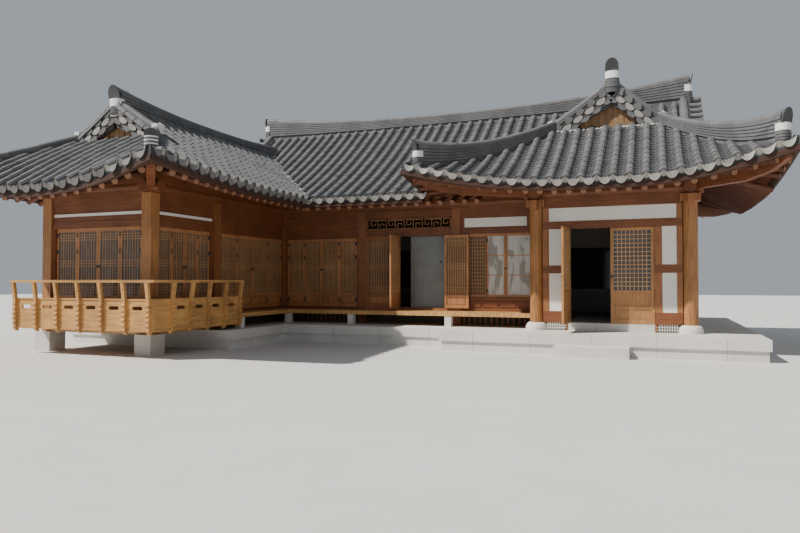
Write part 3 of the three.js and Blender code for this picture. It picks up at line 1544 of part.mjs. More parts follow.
buildStone();
buildFloors();
buildRaisedFloor();
buildPorch();
buildColumns();
buildEntrance();
buildOuterWalls();
buildRaisedRoom();
buildFoldingBays();
buildPorchBay();
buildWindowBay();
buildRailings();
buildRoofs();
buildRidges();
buildBeams();

export default house;
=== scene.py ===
# The looks of the hanok house: roof tiles, ridges, rafters, lattice doors, timber, plaster and stone.
# Metres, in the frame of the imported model: +X towards the right wing, the courtyard at -Y, +Z up.

import math
import random

import bpy
import numpy as np
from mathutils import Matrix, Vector


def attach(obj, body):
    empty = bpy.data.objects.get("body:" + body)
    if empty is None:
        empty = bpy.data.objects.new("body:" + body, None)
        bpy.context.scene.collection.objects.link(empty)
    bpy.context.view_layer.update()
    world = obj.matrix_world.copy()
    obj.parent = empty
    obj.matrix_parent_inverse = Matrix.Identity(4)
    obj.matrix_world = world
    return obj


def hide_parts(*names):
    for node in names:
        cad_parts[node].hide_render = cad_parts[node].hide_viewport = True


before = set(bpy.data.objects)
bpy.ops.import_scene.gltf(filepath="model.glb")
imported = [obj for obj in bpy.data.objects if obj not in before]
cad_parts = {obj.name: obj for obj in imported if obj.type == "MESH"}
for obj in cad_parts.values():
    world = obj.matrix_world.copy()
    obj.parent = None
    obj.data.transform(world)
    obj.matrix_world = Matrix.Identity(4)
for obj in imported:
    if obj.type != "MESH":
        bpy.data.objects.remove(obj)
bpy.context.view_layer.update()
random.seed(7)
HOUSE = "house"

# Column lines, as in the solid model
WEST, COURT, MIDDLE, PORCH, ENTRANCE, EAST = -6.25, -3.65, -1.32, 1.11, 3.12, 6.12
LEFT_FRONT, ROOM_FRONT, RIGHT_FRONT, MAIN_FRONT, BACK = -4.61, -2.66, -0.61, 0.25, 4.95

# Roof form, as in the solid model
EAVE_TOP = 3.33
RISE = 0.5
HOLLOW = 0.0424
FLARE = 0.13
CORNER_REACH = 3.2
SAG_DEPTH = 1.6
SAG_WIDTH = 2.0
MAIN_RUN = 3.65
LEFT_RUN = 2.73
WEST_GABLE, USUAL_GABLE, RIGHT_GABLE = 2.08, 1.67, 2.4
ROW = 0.284


# Materials


def new_material(name):
    material = bpy.data.materials.new(name)
    material.use_nodes = True
    nodes = material.node_tree.nodes
    nodes.clear()
    output = nodes.new("ShaderNodeOutputMaterial")
    shader = nodes.new("ShaderNodeBsdfPrincipled")
    material.node_tree.links.new(shader.outputs[0], output.inputs[0])
    return material, material.node_tree, shader


def feed(tree, socket, value):
    """Links another node's output to a socket, or sets a constant on it."""
    if hasattr(value, "is_output"):
        tree.links.new(value, socket)
    elif isinstance(value, tuple):
        socket.default_value = (*value, 1.0)
    else:
        socket.default_value = value


def mapped(tree, scale=(1, 1, 1)):
    coordinates = tree.nodes.new("ShaderNodeTexCoord")
    mapping = tree.nodes.new("ShaderNodeMapping")
    mapping.inputs["Scale"].default_value = scale
    tree.links.new(coordinates.outputs["Object"], mapping.inputs["Vector"])
    return mapping.outputs["Vector"]


def components(tree, vector):
    """The X, Y and Z outputs of a vector."""
    node = tree.nodes.new("ShaderNodeSeparateXYZ")
    tree.links.new(vector, node.inputs[0])
    return node.outputs


def calculate(tree, operation, first, second):
    node = tree.nodes.new("ShaderNodeMath")
    node.operation = operation
    feed(tree, node.inputs[0], first)
    feed(tree, node.inputs[1], second)
    return node.outputs[0]


def noise(tree, vector, scale, detail=4.0, roughness=0.55, distortion=0.0):
    node = tree.nodes.new("ShaderNodeTexNoise")
    node.inputs["Scale"].default_value = scale
    node.inputs["Detail"].default_value = detail
    node.inputs["Roughness"].default_value = roughness
    node.inputs["Distortion"].default_value = distortion
    tree.links.new(vector, node.inputs["Vector"])
    return node.outputs["Fac"]


def ramp(tree, factor, *stops):
    """Colours at the given positions of a factor; a plain number is a grey."""
    node = tree.nodes.new("ShaderNodeValToRGB")
    elements = node.color_ramp.elements
    while len(elements) < len(stops):
        elements.new(0.5)
    for element, (position, colour) in zip(elements, stops):
        element.position = position
        element.color = (*colour, 1.0) if isinstance(colour, tuple) else (colour, colour, colour, 1.0)
    tree.links.new(factor, node.inputs["Fac"])
    return node.outputs["Color"]


def blend(tree, factor, first, second, mode="MIX"):
    node = tree.nodes.new("ShaderNodeMix")
    node.data_type = "RGBA"
    node.blend_type = mode
    for number, value in ((0, factor), (6, first), (7, second)):
        feed(tree, node.inputs[number], value)
    return node.outputs[2]


def multiply(tree, first, second):
    return blend(tree, 1.0, first, second, "MULTIPLY")


def shade(colour, factor):
    return tuple(channel * factor for channel in colour)


def dress(tree, shader, colour, roughness, height=None, strength=0.25, distance=0.004):
    """Gives the shader its colour and roughness, and a fine relief where a height is given."""
    tree.links.new(colour, shader.inputs["Base Color"])
    shader.inputs["Roughness"].default_value = roughness
    if height is None:
        return
    node = tree.nodes.new("ShaderNodeBump")
    node.inputs["Strength"].default_value = strength
    node.inputs["Distance"].default_value = distance
    tree.links.new(height, node.inputs["Height"])
    tree.links.new(node.outputs["Normal"], shader.inputs["Normal"])


def wood(name, colour, axis, roughness=0.55, contrast=1.0):
    """Timber with its grain along an axis."""
    material, tree, shader = new_material(name)
    along = [16.0, 16.0, 16.0]
    along[axis] = 1.1
    grain = noise(tree, mapped(tree, along), 2.2, 8.0, 0.6, 0.35)
    patches = noise(tree, mapped(tree), 1.7, 3.0)
    dark, light = shade(colour, 1 - 0.42 * contrast), shade(colour, 1 + 0.22 * contrast)
    tone = ramp(tree, grain, (0.3, dark), (0.52, colour), (0.75, light))
    worn = ramp(tree, patches, (0.3, (0.72, 0.7, 0.68)), (0.7, (1.08, 1.06, 1.02)))
    dress(tree, shader, multiply(tree, tone, worn), roughness, grain)
    return material


def mineral(name, colour, scale, spread, roughness, relief, patch=(0.85, 1.08)):
    """Plaster, mortar and the like: speckles of the given spread and wide patches."""
    material, tree, shader = new_material(name)
    speckle = noise(tree, mapped(tree), scale, 6.0, 0.7)
    patches = noise(tree, mapped(tree), 0.9, 4.0)
    tone = ramp(tree, speckle, (0.28, shade(colour, 1 - spread)), (0.72, shade(colour, 1 + spread)))
    worn = ramp(tree, patches, (0.3, patch[0]), (0.7, patch[1]))
    dress(tree, shader, multiply(tree, tone, worn), roughness, speckle, relief, 0.006)
    return material


def tile_material(name, colour, cell=3.6):
    """Fired clay whose grey changes from tile to tile, with speckles and dust."""
    material, tree, shader = new_material(name)
    vector = mapped(tree)
    cells = tree.nodes.new("ShaderNodeTexVoronoi")
    cells.inputs["Scale"].default_value = cell
    tree.links.new(vector, cells.inputs["Vector"])
    separate = tree.nodes.new("ShaderNodeSeparateColor")
    tree.links.new(cells.outputs["Color"], separate.inputs["Color"])
    dark, light = shade(colour, 0.8), shade(colour, 1.2)
    tone = ramp(tree, separate.outputs[0], (0.0, dark), (0.5, colour), (1.0, light))
    speckle = noise(tree, vector, 60.0, 5.0, 0.7)
    speckled = multiply(tree, tone, ramp(tree, speckle, (0.3, 0.8), (0.7, 1.15)))
    dust = ramp(tree, noise(tree, vector, 1.3, 5.0), (0.3, (0.9, 0.91, 0.93)), (0.7, (1.06, 1.05, 1.02)))
    dress(tree, shader, multiply(tree, speckled, dust), 0.62, speckle, 0.3)
    return material


def roof_shell_material(name, top_colour, wood_colour):
    """Tile colour on upward faces, a darker copy of it as painted shade on the edges, and timber colour on
    undersides.
    """
    material, tree, shader = new_material(name)
    geometry = tree.nodes.new("ShaderNodeNewGeometry")
    upward = components(tree, geometry.outputs["Normal"])[2]
    grain = noise(tree, mapped(tree, (6, 6, 6)), 2.0, 6.0, 0.6)
    under = ramp(tree, grain, (0.3, shade(wood_colour, 0.6)), (0.7, shade(wood_colour, 1.2)))
    over = ramp(tree, grain, (0.3, shade(top_colour, 0.8)), (0.7, shade(top_colour, 1.2)))
    # Side faces take a darker copy of the tile colour, as painted shade.
    edges_painted_shade = blend(tree, calculate(tree, "GREATER_THAN", upward, -0.4), under, shade(top_colour, 0.6))
    result = blend(tree, calculate(tree, "GREATER_THAN", upward, 0.35), edges_painted_shade, over)
    dress(tree, shader, result, 0.8, grain, 0.2)
    return material


def joint_lines(tree, coordinate, period, offset=0.0):
    """One on joints 8 mm wide at each period along a coordinate, zero between them."""
    shifted = calculate(tree, "ADD", coordinate, offset)
    wrapped = calculate(tree, "PINGPONG", shifted, period / 2)
    return calculate(tree, "LESS_THAN", wrapped, 0.004)


def stone_blocks(name, colour):
    """Granite with dressed upright joints every 1.16 m along both walls."""
    material, tree, shader = new_material(name)
    speckle = noise(tree, mapped(tree), 90.0, 6.0, 0.75)
    patches = noise(tree, mapped(tree), 1.1, 4.0)
    tone = ramp(tree, speckle, (0.3, shade(colour, 0.82)), (0.7, shade(colour, 1.12)))
    worn = ramp(tree, patches, (0.3, (0.86, 0.85, 0.83)), (0.7, 1.06))
    x, y, _ = components(tree, mapped(tree))
    joints = calculate(tree, "MAXIMUM", joint_lines(tree, x, 1.16, 0.31), joint_lines(tree, y, 1.16, 0.12))
    result = blend(tree, joints, multiply(tree, tone, worn), shade(colour, 0.42))
    dress(tree, shader, result, 0.85, speckle, 0.25, 0.003)
    return material


def board_floor(name, colour, axis, width):
    """Floor boards of the given width, laid across the axis."""
    material = wood(name, colour, 1 - axis, 0.5)
    tree = material.node_tree
    base = next(node for node in tree.nodes if node.type == "BSDF_PRINCIPLED").inputs["Base Color"]
    joints = joint_lines(tree, components(tree, mapped(tree))[axis], width)
    result = blend(tree, joints, base.links[0].from_socket, shade(colour, 0.25))
    tree.links.new(result, base)
    return material


def glass_material(name, colour, roughness=0.08):
    material, tree, shader = new_material(name)
    waves = noise(tree, mapped(tree), 1.4, 2.0)
    dress(tree, shader, ramp(tree, waves, (0.35, shade(colour, 0.8)), (0.65, shade(colour, 1.15))), roughness)
    shader.inputs["Specular IOR Level"].default_value = 0.7
    return material


def curtained_pane(name, dark, light):
    """A pane with a pale curtain in upright folds behind it: painted shade in the folds, and painted dark
    shade where it hangs open.
    """
    material, tree, shader = new_material(name)
    folds = noise(tree, mapped(tree, (26.0, 1.0, 1.2)), 1.0, 2.0, 0.5, 0.4)
    openings = noise(tree, mapped(tree, (5.5, 1.0, 1.6)), 1.0, 2.0, 0.5, 0.6)
    cloth_painted_fold_shade = ramp(tree, folds, (0.35, shade(light, 0.78)), (0.6, light))
    open_painted_shade_mask = ramp(tree, openings, (0.42, 1.0), (0.5, 0.0))
    dress(tree, shader, blend(tree, open_painted_shade_mask, cloth_painted_fold_shade, dark), 0.3)
    return material


# BROWN is darkened partly as painted shade of the beams under the eaves, over the timber's own red-brown.
BROWN = (0.2, 0.066, 0.023)
HONEY = (0.56, 0.3, 0.1)

timber_x = wood("timber_along_x", BROWN, 0)
timber_y = wood("timber_along_y", BROWN, 1)
timber_z = wood("timber_upright", (0.33, 0.135, 0.048), 2)
column_wood = wood("column_timber", (0.4, 0.185, 0.062), 2, 0.5)
door_wood = wood("door_timber", (0.47, 0.215, 0.085), 2, 0.5)
leaf_wood = wood("entrance_leaf_timber", (0.45, 0.22, 0.08), 2, 0.5)
bar_wood = wood("lattice_bar_timber", (0.5, 0.27, 0.12), 2, 0.6, 0.6)
bar_pale = wood("pale_bar_timber", (0.55, 0.31, 0.14), 2, 0.6, 0.5)
column_red = wood("court_column_timber", (0.27, 0.1, 0.034), 2, 0.5)
# The rafter timber is darkened partly as painted shade under the eaves, over its own red-brown.
rafter_wood = wood("rafter_timber", (0.13, 0.04, 0.016), 0, 0.65)
# Eave boards: timber darkened as painted shade under the drooping end tiles.
eave_board_painted_shade = wood("eave_board_timber", (0.05, 0.019, 0.01), 0, 0.8)
rafter_end = mineral("rafter_end_grain", (0.24, 0.11, 0.055), 40.0, 0.3, 0.7, 0.2)
railing_wood = wood("railing_timber", HONEY, 0, 0.5)
railing_wood_y = wood("side_railing_timber", HONEY, 1, 0.5)
porch_boards = board_floor("porch_boards", (0.58, 0.33, 0.12), 0, 0.16)
room_boards = board_floor("room_boards", (0.4, 0.21, 0.08), 1, 0.14)
plaster = mineral("white_plaster", (0.78, 0.77, 0.73), 24.0, 0.05, 0.92, 0.15, (0.92, 1.04))
lime = mineral("ridge_lime", (0.82, 0.82, 0.8), 30.0, 0.08, 0.9, 0.3, (0.85, 1.05))
granite = stone_blocks("dressed_granite", (0.66, 0.65, 0.62))
granite_plain = mineral("plinth_granite", (0.62, 0.6, 0.56), 80.0, 0.16, 0.85, 0.3)
tile_grey = tile_material("roof_tile", (0.115, 0.117, 0.122))
# The pan tiles are a darker copy of the cover tile grey: painted shade in the troughs between the cover rows.
pan_grey_painted_shade = tile_material("pan_tile", (0.062, 0.064, 0.069), 6.5)
tile_pale = tile_material("eave_tile_end", (0.3, 0.285, 0.262), 3.5)
tile_end_painted_shade = tile_material("shaded_tile_end", (0.15, 0.146, 0.142), 3.5)
tile_dark = tile_material("ridge_end_tile", (0.05, 0.051, 0.055), 5.0)
# Ridge mortar near black: painted shade in the recessed lines between ridge layers, over the mortar there.
mortar = mineral("ridge_mortar_painted_shade", (0.09, 0.09, 0.095), 50.0, 0.2, 0.9, 0.3)
shell = roof_shell_material("roof_shell", (0.07, 0.07, 0.074), (0.15, 0.045, 0.018))
# Door paper painted dark, as painted shade behind the lattice bars.
paper_painted_shade = mineral("door_paper", (0.12, 0.08, 0.05), 14.0, 0.06, 0.9, 0.05)
glass_dark = glass_material("window_glass", (0.07, 0.075, 0.075))
glass_grey = glass_material("screen_glass", (0.16, 0.165, 0.155), 0.25)
iron = mineral("iron_fittings", (0.05, 0.045, 0.04), 60.0, 0.3, 0.5, 0.2)
# The first colour is the painted shade seen where the curtain hangs open.
curtain = curtained_pane("curtained_pane", (0.26, 0.25, 0.22), (0.52, 0.52, 0.5))
# A near-black board, as painted shade under the porch floor and behind the vent bars.
shadow_board = wood("under_porch_board", (0.05, 0.04, 0.032), 0, 0.8)


# Geometry collected in plain lists


def quarter_turn(x):
    """Moves a wall drawn along X to its line at x, which runs along Y."""
    return lambda point: (x - point[1], point[0], point[2])


def turn_about(axis_x, axis_y, degrees):
    """Turns a leaf about its hinge line."""
    cosine, sine = math.cos(math.radians(degrees)), math.sin(math.radians(degrees))

    def place(point):
        dx, dy = point[0] - axis_x, point[1] - axis_y
        return (axis_x + cosine * dx - sine * dy, axis_y + sine * dx + cosine * dy, point[2])

    return place


def arc(steps, sweep):
    """Cosines and sines at even steps of an arc, both ends included."""
    angles = [sweep * step / steps for step in range(steps + 1)]
    return [(math.cos(angle), math.sin(angle)) for angle in angles]


def circle(sides):
    return arc(sides, 2 * math.pi)[:-1]


def unit(vectors):
    return vectors / np.linalg.norm(vectors, axis=-1, keepdims=True)


def show(name, data):
    """Puts a mesh, camera or light into the scene."""
    shown = bpy.data.objects.new(name, data)
    bpy.context.scene.collection.objects.link(shown)
    return shown


class Piece:
    """Faces with their materials, made into one mesh that rides on a body; its slot is not used."""

    def __init__(self, name, materials, slot, body=HOUSE, place=None):
        self.name = name
        self.materials = materials
        self.slot = slot
        self.body = body
        self.place = place
        self.points = []
        self.faces = []
        self.face_materials = []

    def add(self, points, faces, material=0):
        start = len(self.points)
        self.points.extend(points)
        self.faces.extend(tuple(start + corner for corner in face) for face in faces)
        self.face_materials.extend([material] * len(faces))

    def box(self, x0, x1, y0, y1, z0, z1, material=0):
        points = [(x, y, z) for z in (z0, z1) for y in (y0, y1) for x in (x0, x1)]
        faces = [(0, 2, 3, 1), (4, 5, 7, 6), (0, 1, 5, 4), (2, 6, 7, 3), (0, 4, 6, 2), (1, 3, 7, 5)]
        self.add(points, faces, material)

    def boxes(self, y0, y1, rectangles, material=0):
        """Boxes between two depths from (x0, x1, z0, z1) rectangles."""
        for x0, x1, z0, z1 in rectangles:
            self.box(x0, x1, y0, y1, z0, z1, material)

    def frame(self, x0, x1, y0, y1, z0, z1, width, material=0):
        """Four bars round a field that faces along Y."""
        bars = [
            (x0, x1, z0, z0 + width),
            (x0, x1, z1 - width, z1),
            (x0, x0 + width, z0 + width, z1 - width),
            (x1 - width, x1, z0 + width, z1 - width),
        ]
        self.boxes(y0, y1, bars, material)

    def bars(self, x0, x1, y0, y1, z0, z1, columns, rows, width, material=0):
        """Lattice bars that divide a field into columns and rows."""
        half = width / 2
        for number in range(1, columns):
            x = x0 + number * (x1 - x0) / columns
            self.box(x - half, x + half, y0, y1, z0, z1, material)
        for number in range(1, rows):
            z = z0 + number * (z1 - z0) / rows
            self.box(x0, x1, y0 + 0.001, y1 - 0.001, z - half, z + half, material)

    def tube(self, a, b, radius, sides=10, material=0, end_material=None):
        a, b = Vector(a), Vector(b)
        direction = (b - a).normalized()
        helper = Vector((0, 0, 1)) if abs(direction.z) < 0.9 else Vector((1, 0, 0))
        u = direction.cross(helper).normalized()
        v = direction.cross(u).normalized()
        around = [u * (radius * cosine) + v * (radius * sine) for cosine, sine in circle(sides)]
        start = len(self.points)
        self.rings([[centre + reach for reach in around] for centre in (a, b)], material, closed=True)
        for cap in (range(sides - 1, -1, -1), range(sides, 2 * sides)):
            self.faces.append(tuple(start + corner for corner in cap))
            self.face_materials.append(material if end_material is None else end_material)

    def rings(self, rings, material=0, closed=False, step_materials=None):
        """Quads between rows of points; each row has the same number of points."""
        count = len(rings[0])
        start = len(self.points)
        self.points.extend(tuple(point) for ring in rings for point in ring)
        across = count if closed else count - 1
        for row in range(len(rings) - 1):
            low, high = start + row * count, start + (row + 1) * count
            for step in range(across):
                after = (step + 1) % count
                self.faces.append((low + step, low + after, high + after, high + step))
                self.face_materials.append(material if step_materials is None else step_materials[step])

    def polygon(self, points, material=0):
        self.add([tuple(point) for point in points], [tuple(range(len(points)))], material)

    def lump(self, centre, size, material=0):
        """A small uneven lump of mortar."""
        x, y, z = centre
        reach = [size * (0.7 + 0.6 * random.random()) for _ in range(6)]
        points = [
            (x + reach[0], y, z),
            (x, y + reach[1], z),
            (x - reach[2], y, z),
            (x, y - reach[3], z),
            (x, y, z + reach[4] * 0.7),
            (x, y, z - reach[5]),
        ]
        faces = [(0, 1, 4), (1, 2, 4), (2, 3, 4), (3, 0, 4), (1, 0, 5), (2, 1, 5), (3, 2, 5), (0, 3, 5)]
        self.add(points, faces, material)

    def make(self, replaces=None):
        mesh = bpy.data.meshes.new(self.name)
        points = [self.place(point) for point in self.points] if self.place else self.points
        mesh.from_pydata(points, [], self.faces)
        for material in self.materials:
            mesh.materials.append(material)
        mesh.polygons.foreach_set("material_index", np.array(self.face_materials, dtype=np.int32))
        mesh.update()
        piece = show(self.name, mesh)
        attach(piece, self.body)
        if replaces:
            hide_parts(*replaces)


# Roof surfaces


class Side:
    """The slope behind one eave, which lies at a fixed x (axis 0) or y (axis 1)."""

    def __init__(self, axis, at, sign, ratio=1.0):
        self.axis = axis
        self.at = at
        self.sign = sign
        self.ratio = ratio

    def distance(self, x, y):
        return self.sign * ((x if self.axis == 0 else y) - self.at) * self.ratio

    def point(self, t, d):
        """Plan point at t along the eave and roof distance d from it."""
        across = self.at + self.sign * d / self.ratio
        return (across, t) if self.axis == 0 else (t, across)

    def out(self):
        return (-self.sign, 0) if self.axis == 0 else (0, -self.sign)


EAVE_WEST, EAVE_EAST = WEST - 1.43, EAST + 1.53
MAIN_EAVE_FRONT, MAIN_EAVE_BACK = MAIN_FRONT - 1.3, BACK + 1.3
MAIN_RIDGE = (MAIN_EAVE_FRONT + MAIN_EAVE_BACK) / 2
LEFT_RIDGE = (WEST + COURT) / 2
LEFT_EAVE_COURT = LEFT_RIDGE + LEFT_RUN
LEFT_EAVE_FRONT = LEFT_FRONT - 1.6
RIGHT_RIDGE = (ENTRANCE + EAST) / 2
RIGHT_EAVE_COURT = ENTRANCE - 2.42
RIGHT_EAVE_FRONT = RIGHT_FRONT - 1.29
EAST_RATIO = MAIN_RUN / (EAVE_EAST - RIGHT_RIDGE)
COURT_RATIO = MAIN_RUN / (RIGHT_RIDGE - RIGHT_EAVE_COURT)
FRONT_RATIO = 0.85

main_west = Side(0, EAVE_WEST, 1)
main_east = Side(0, EAVE_EAST, -1, EAST_RATIO)
main_south = Side(1, MAIN_EAVE_FRONT, 1)
main_north = Side(1, MAIN_EAVE_BACK, -1)
left_east = Side(0, LEFT_EAVE_COURT, -1)
left_south = Side(1, LEFT_EAVE_FRONT, 1, FRONT_RATIO)
right_west = Side(0, RIGHT_EAVE_COURT, 1, COURT_RATIO)
right_south = Side(1, RIGHT_EAVE_FRONT, 1)


class Roof:
    """Slopes, hips with their gable lines, corner lift, front sag, hip stack and ridge stack."""

    def __init__(self, name, slopes, hips, corners, gables, run, lift, sag, hip_stack, ridge_stack):
        self.name = name
        self.slopes = slopes
        self.hips = hips
        self.corners = corners
        self.gables = gables
        self.run = run
        self.lift = lift
        self.sag = sag
        self.hip_stack = hip_stack
        self.ridge_stack = ridge_stack
        self.along_x = slopes[0].axis == 1

    def shares(self, x, y):
        result = []
        for a, b in self.corners:
            near_a = np.clip(1 - np.maximum(a.distance(x, y), 0) / CORNER_REACH, 0, 1)
            near_b = np.clip(1 - np.maximum(b.distance(x, y), 0) / CORNER_REACH, 0, 1)
            result.append((near_a * near_b) ** 2)
        return result

    def height(self, x, y, d):
        """Height of the tiles where the nearest counted eave is d away."""
        near = np.clip(1 - self.hips[0].distance(x, y) / SAG_DEPTH, 0, 1)
        sides = [np.clip(slope.distance(x, y) / SAG_WIDTH, 0, 1) for slope in self.slopes]
        hang = self.sag * near**2 * (1 - (1 - np.minimum(*sides)) ** 2)
        return EAVE_TOP + RISE * d + HOLLOW * d * d + self.lift * sum(self.shares(x, y)) - hang

    def governed(self, x, y):
        """Height, and which side's slope lies there: slopes first, then hips; -1 off the roof."""
        inside = np.ones_like(x, dtype=bool)
        for hip, gable in zip(self.hips, self.gables):
            inside &= hip.distance(x, y) >= gable
        distances = [side.distance(x, y) for side in self.slopes]
        for hip in self.hips:
            distances.append(np.where(inside, 1e3, hip.distance(x, y)))
        stacked = np.stack(distances)
        nearest = stacked.min(axis=0)
        which = stacked.argmin(axis=0)
        off = nearest < -1e-6
        if not self.along_x:
            off |= y > MAIN_RIDGE
        return np.where(off, -1e3, self.height(x, y, np.maximum(nearest, 0))), np.where(off, -1, which)

    def ends_at_corner(self, long, end):
        """Whether a corner with a hip of its own lies where these two sides meet."""
        return any(long in corner and end in corner for corner in self.corners)

    def at(self, side, t, d):
        """Points of one side's slope, with the corners run out."""
        x, y = side.point(t, d)
        x, y = np.broadcast_arrays(np.asarray(x, float), np.asarray(y, float))
        z = self.height(x, y, d)
        fx, fy = x.copy(), y.copy()
        for (a, b), share in zip(self.corners, self.shares(x, y)):
            fx += FLARE * share * (a.out()[0] + b.out()[0])
            fy += FLARE * share * (a.out()[1] + b.out()[1])
        return np.stack([fx, fy, z], axis=-1)

    def frames(self, side, t, d):
        """Points with unit vectors along the eave, up the slope and off the surface."""
        step = 0.01
        here = self.at(side, t, d)
        along = unit(self.at(side, t + step, d) - self.at(side, t - step, d))
        up = unit(self.at(side, t, d + step) - self.at(side, t, np.maximum(d - step, 0)))
        off = np.cross(along, up)
        return here, along, up, unit(off * np.sign(off[..., 2:3]))


main_roof = Roof(
    "main",
    [main_south, main_north],
    [main_west, main_east],
    [(main_north, main_west), (main_north, main_east)],
    [WEST_GABLE, USUAL_GABLE],
    MAIN_RUN,
    0.42,
    0.0,
    (0.27, 0.15, 4),
    (0.36, 0.37, 0.37),
)
left_roof = Roof(
    "left_wing",
    [main_west, left_east],
    [left_south],
    [(left_south, main_west), (left_south, left_east)],
    [USUAL_GABLE],
    LEFT_RUN,
    0.22,
    0.25,
    (0.25, 0.14, 14),
    (0.27, 0.2, 0.17),
)
right_roof = Roof(
    "right_wing",
    [right_west, main_east],
    [right_south],
    [(right_south, right_west), (right_south, main_east)],
    [RIGHT_GABLE],
    MAIN_RUN,
    0.48,
    0.0,
    (0.3, 0.3, 1.2),
    (0.36, 0.28, 0.0),
)
ROOFS = [main_roof, left_roof, right_roof]


def visible_run(roof, side, t):
    """The part of a row, as distances from the eave, where this slope is the top of the house."""
    d = np.arange(0.0, MAIN_RUN + 0.01, 0.02)
    x, y = np.broadcast_arrays(*side.point(t, d))
    height, which = roof.governed(x, y)
    shown = which == (roof.slopes + roof.hips).index(side)
    for other in ROOFS:
        if other is not roof:
            above, _ = other.governed(x, y)
            shown &= height > above + (0.004 if other is main_roof else -0.004)
    best = (0, 0)
    start = None
    for index, good in enumerate(list(shown) + [False]):
        if good and start is None:
            start = index
        if not good and start is not None:
            if index - start > best[1] - best[0]:
                best = (start, index)
            start = None
    return (d[best[0]], d[best[1] - 1]) if best[1] - best[0] >= 6 else None


COVER_TILE = 0.25
PAN_TILE = 0.125
COVER_SEGMENTS = 6
COVER_LOW, COVER_HIGH = 0.082, 0.073
COVER_BASE = 0.055
EAVE_OUT = 0.03
PAN_PROFILE = [(-0.11, 0.088), (-0.055, 0.052), (0.0, 0.03), (0.055, 0.052), (0.11, 0.088)]


def row_marks(roof, side, t, length):
    """Joints of a row's tiles as doubled distances; None where the row is hidden."""
    run = visible_run(roof, side, t)
    if run is None:
        return None, False
    at_eave = run[0] < 0.03
    start = run[0]
    if at_eave:
        x, y = side.point(t, 0.0)
        start = EAVE_OUT * (1.3 * float(sum(roof.shares(x, y))) - 1)
    count = max(1, int(round((run[1] - start) / length)))
    return np.repeat(np.linspace(start, run[1], count + 1), 2)[1:-1], at_eave


def cover_rows(piece, roof, side, rows):
    """Round cover tiles in rows up the slope, each tile's lower end over the one below."""
    angles = np.linspace(math.radians(-8), math.radians(188), COVER_SEGMENTS + 1)
    for t in rows:
        d, at_eave = row_marks(roof, side, t, COVER_TILE)
        if d is None:
            continue
        radii = np.tile([COVER_LOW, COVER_HIGH], len(d) // 2)
        here, along, up, off = roof.frames(side, np.full_like(d, t), d)
        wobble = 0.004 * (random.random() - 0.5)
        rings = []
        for angle in angles:
            reach = (radii * math.cos(angle) + wobble)[:, None]
            lift = (COVER_BASE + radii * math.sin(angle))[:, None]
            rings.append(here + along * reach + off * lift)
        grid = np.stack(rings, axis=1)
        piece.rings([list(ring) for ring in grid])
        if at_eave:
            end_disc(piece, here[0], along[0], up[0], off[0])


def end_disc(piece, here, along, up, off):
    """The round end of a cover row at the eave, filled with lime."""
    centre = here + off * (COVER_BASE - 0.008)
    levels = [(COVER_LOW + 0.006, 0.02), (COVER_LOW + 0.006, -0.01), (COVER_LOW * 0.74, -0.004)]
    circles = []
    for radius, back in levels:
        reaches = [(along * cosine + off * sine) * radius for cosine, sine in circle(12)]
        circles.append([centre + reach + up * back for reach in reaches])
    piece.rings(circles, closed=True)
    piece.polygon(circles[2][::-1], 1)


def pan_rows(piece, ends, roof, side, rows):
    """Hollow pan tiles between the cover rows, with a hanging end tile at the eave."""
    for t in rows:
        d, at_eave = row_marks(roof, side, t, PAN_TILE)
        if d is None:
            continue
        raised = np.tile([0.009, 0.0], len(d) // 2)
        here, along, up, off = roof.frames(side, np.full_like(d, t), d)
        rings = []
        for reach, lift in PAN_PROFILE:
            rings.append(here + along * reach + off * (lift + raised)[:, None])
        grid = np.stack(rings, axis=1)
        piece.rings([list(ring) for ring in grid])
        if at_eave:
            end_lobe(ends, here[0], along[0], up[0], off[0])


def end_lobe(piece, here, along, up, off):
    """The drooping end tile of a pan row: hollow above, round below."""
    steps = 8
    half = 0.122
    down = unit(np.array([0.0, 0.0, -1.0]) - 0.25 * np.array([up[0], up[1], 0.0]))
    top, low = [], []
    for step in range(steps + 1):
        share = -1 + 2 * step / steps
        upper = here + along * (half * share) + off * (0.048 + 0.05 * share * share) - up * 0.004
        top.append(upper)
        low.append(upper + down * (0.012 + 0.105 * math.sqrt(max(0.0, 1 - share * share))))
    inward = up * 0.018
    back_top = [point + inward for point in top]
    back_low = [point + inward for point in low]
    piece.rings([back_top, top, low, back_low, back_top])


def row_lines(low, high):
    """Cover rows start at the corner, pan rows lie half a row on."""
    count = int(round((high - low) / ROW))
    width = (high - low) / count
    covers = [low + width * step for step in range(count + 1)]
    pans = [low + width * (step + 0.5) for step in range(count)]
    covers[0] += 0.05
    covers[-1] -= 0.05
    return covers, pans


roof_sides = [
    ("main_front", main_roof, main_south, EAVE_WEST, EAVE_EAST),
    ("main_back", main_roof, main_north, EAVE_WEST, EAVE_EAST),
    ("main_left_end", main_roof, main_west, MAIN_EAVE_FRONT, MAIN_EAVE_BACK),
    ("main_right_end", main_roof, main_east, MAIN_EAVE_FRONT, MAIN_EAVE_BACK),
    ("left_wing_outer", left_roof, main_west, LEFT_EAVE_FRONT, MAIN_EAVE_FRONT),
    ("left_wing_join", left_roof, main_west, MAIN_EAVE_FRONT, MAIN_EAVE_BACK),
    ("left_wing_court", left_roof, left_east, LEFT_EAVE_FRONT, MAIN_RIDGE),
    ("left_wing_front", left_roof, left_south, EAVE_WEST, LEFT_EAVE_COURT),
    ("right_wing_court", right_roof, right_west, RIGHT_EAVE_FRONT, MAIN_RIDGE),
    ("right_wing_outer", right_roof, main_east, RIGHT_EAVE_FRONT, MAIN_EAVE_FRONT),
    ("right_wing_front", right_roof, right_south, RIGHT_EAVE_COURT, EAVE_EAST),
]
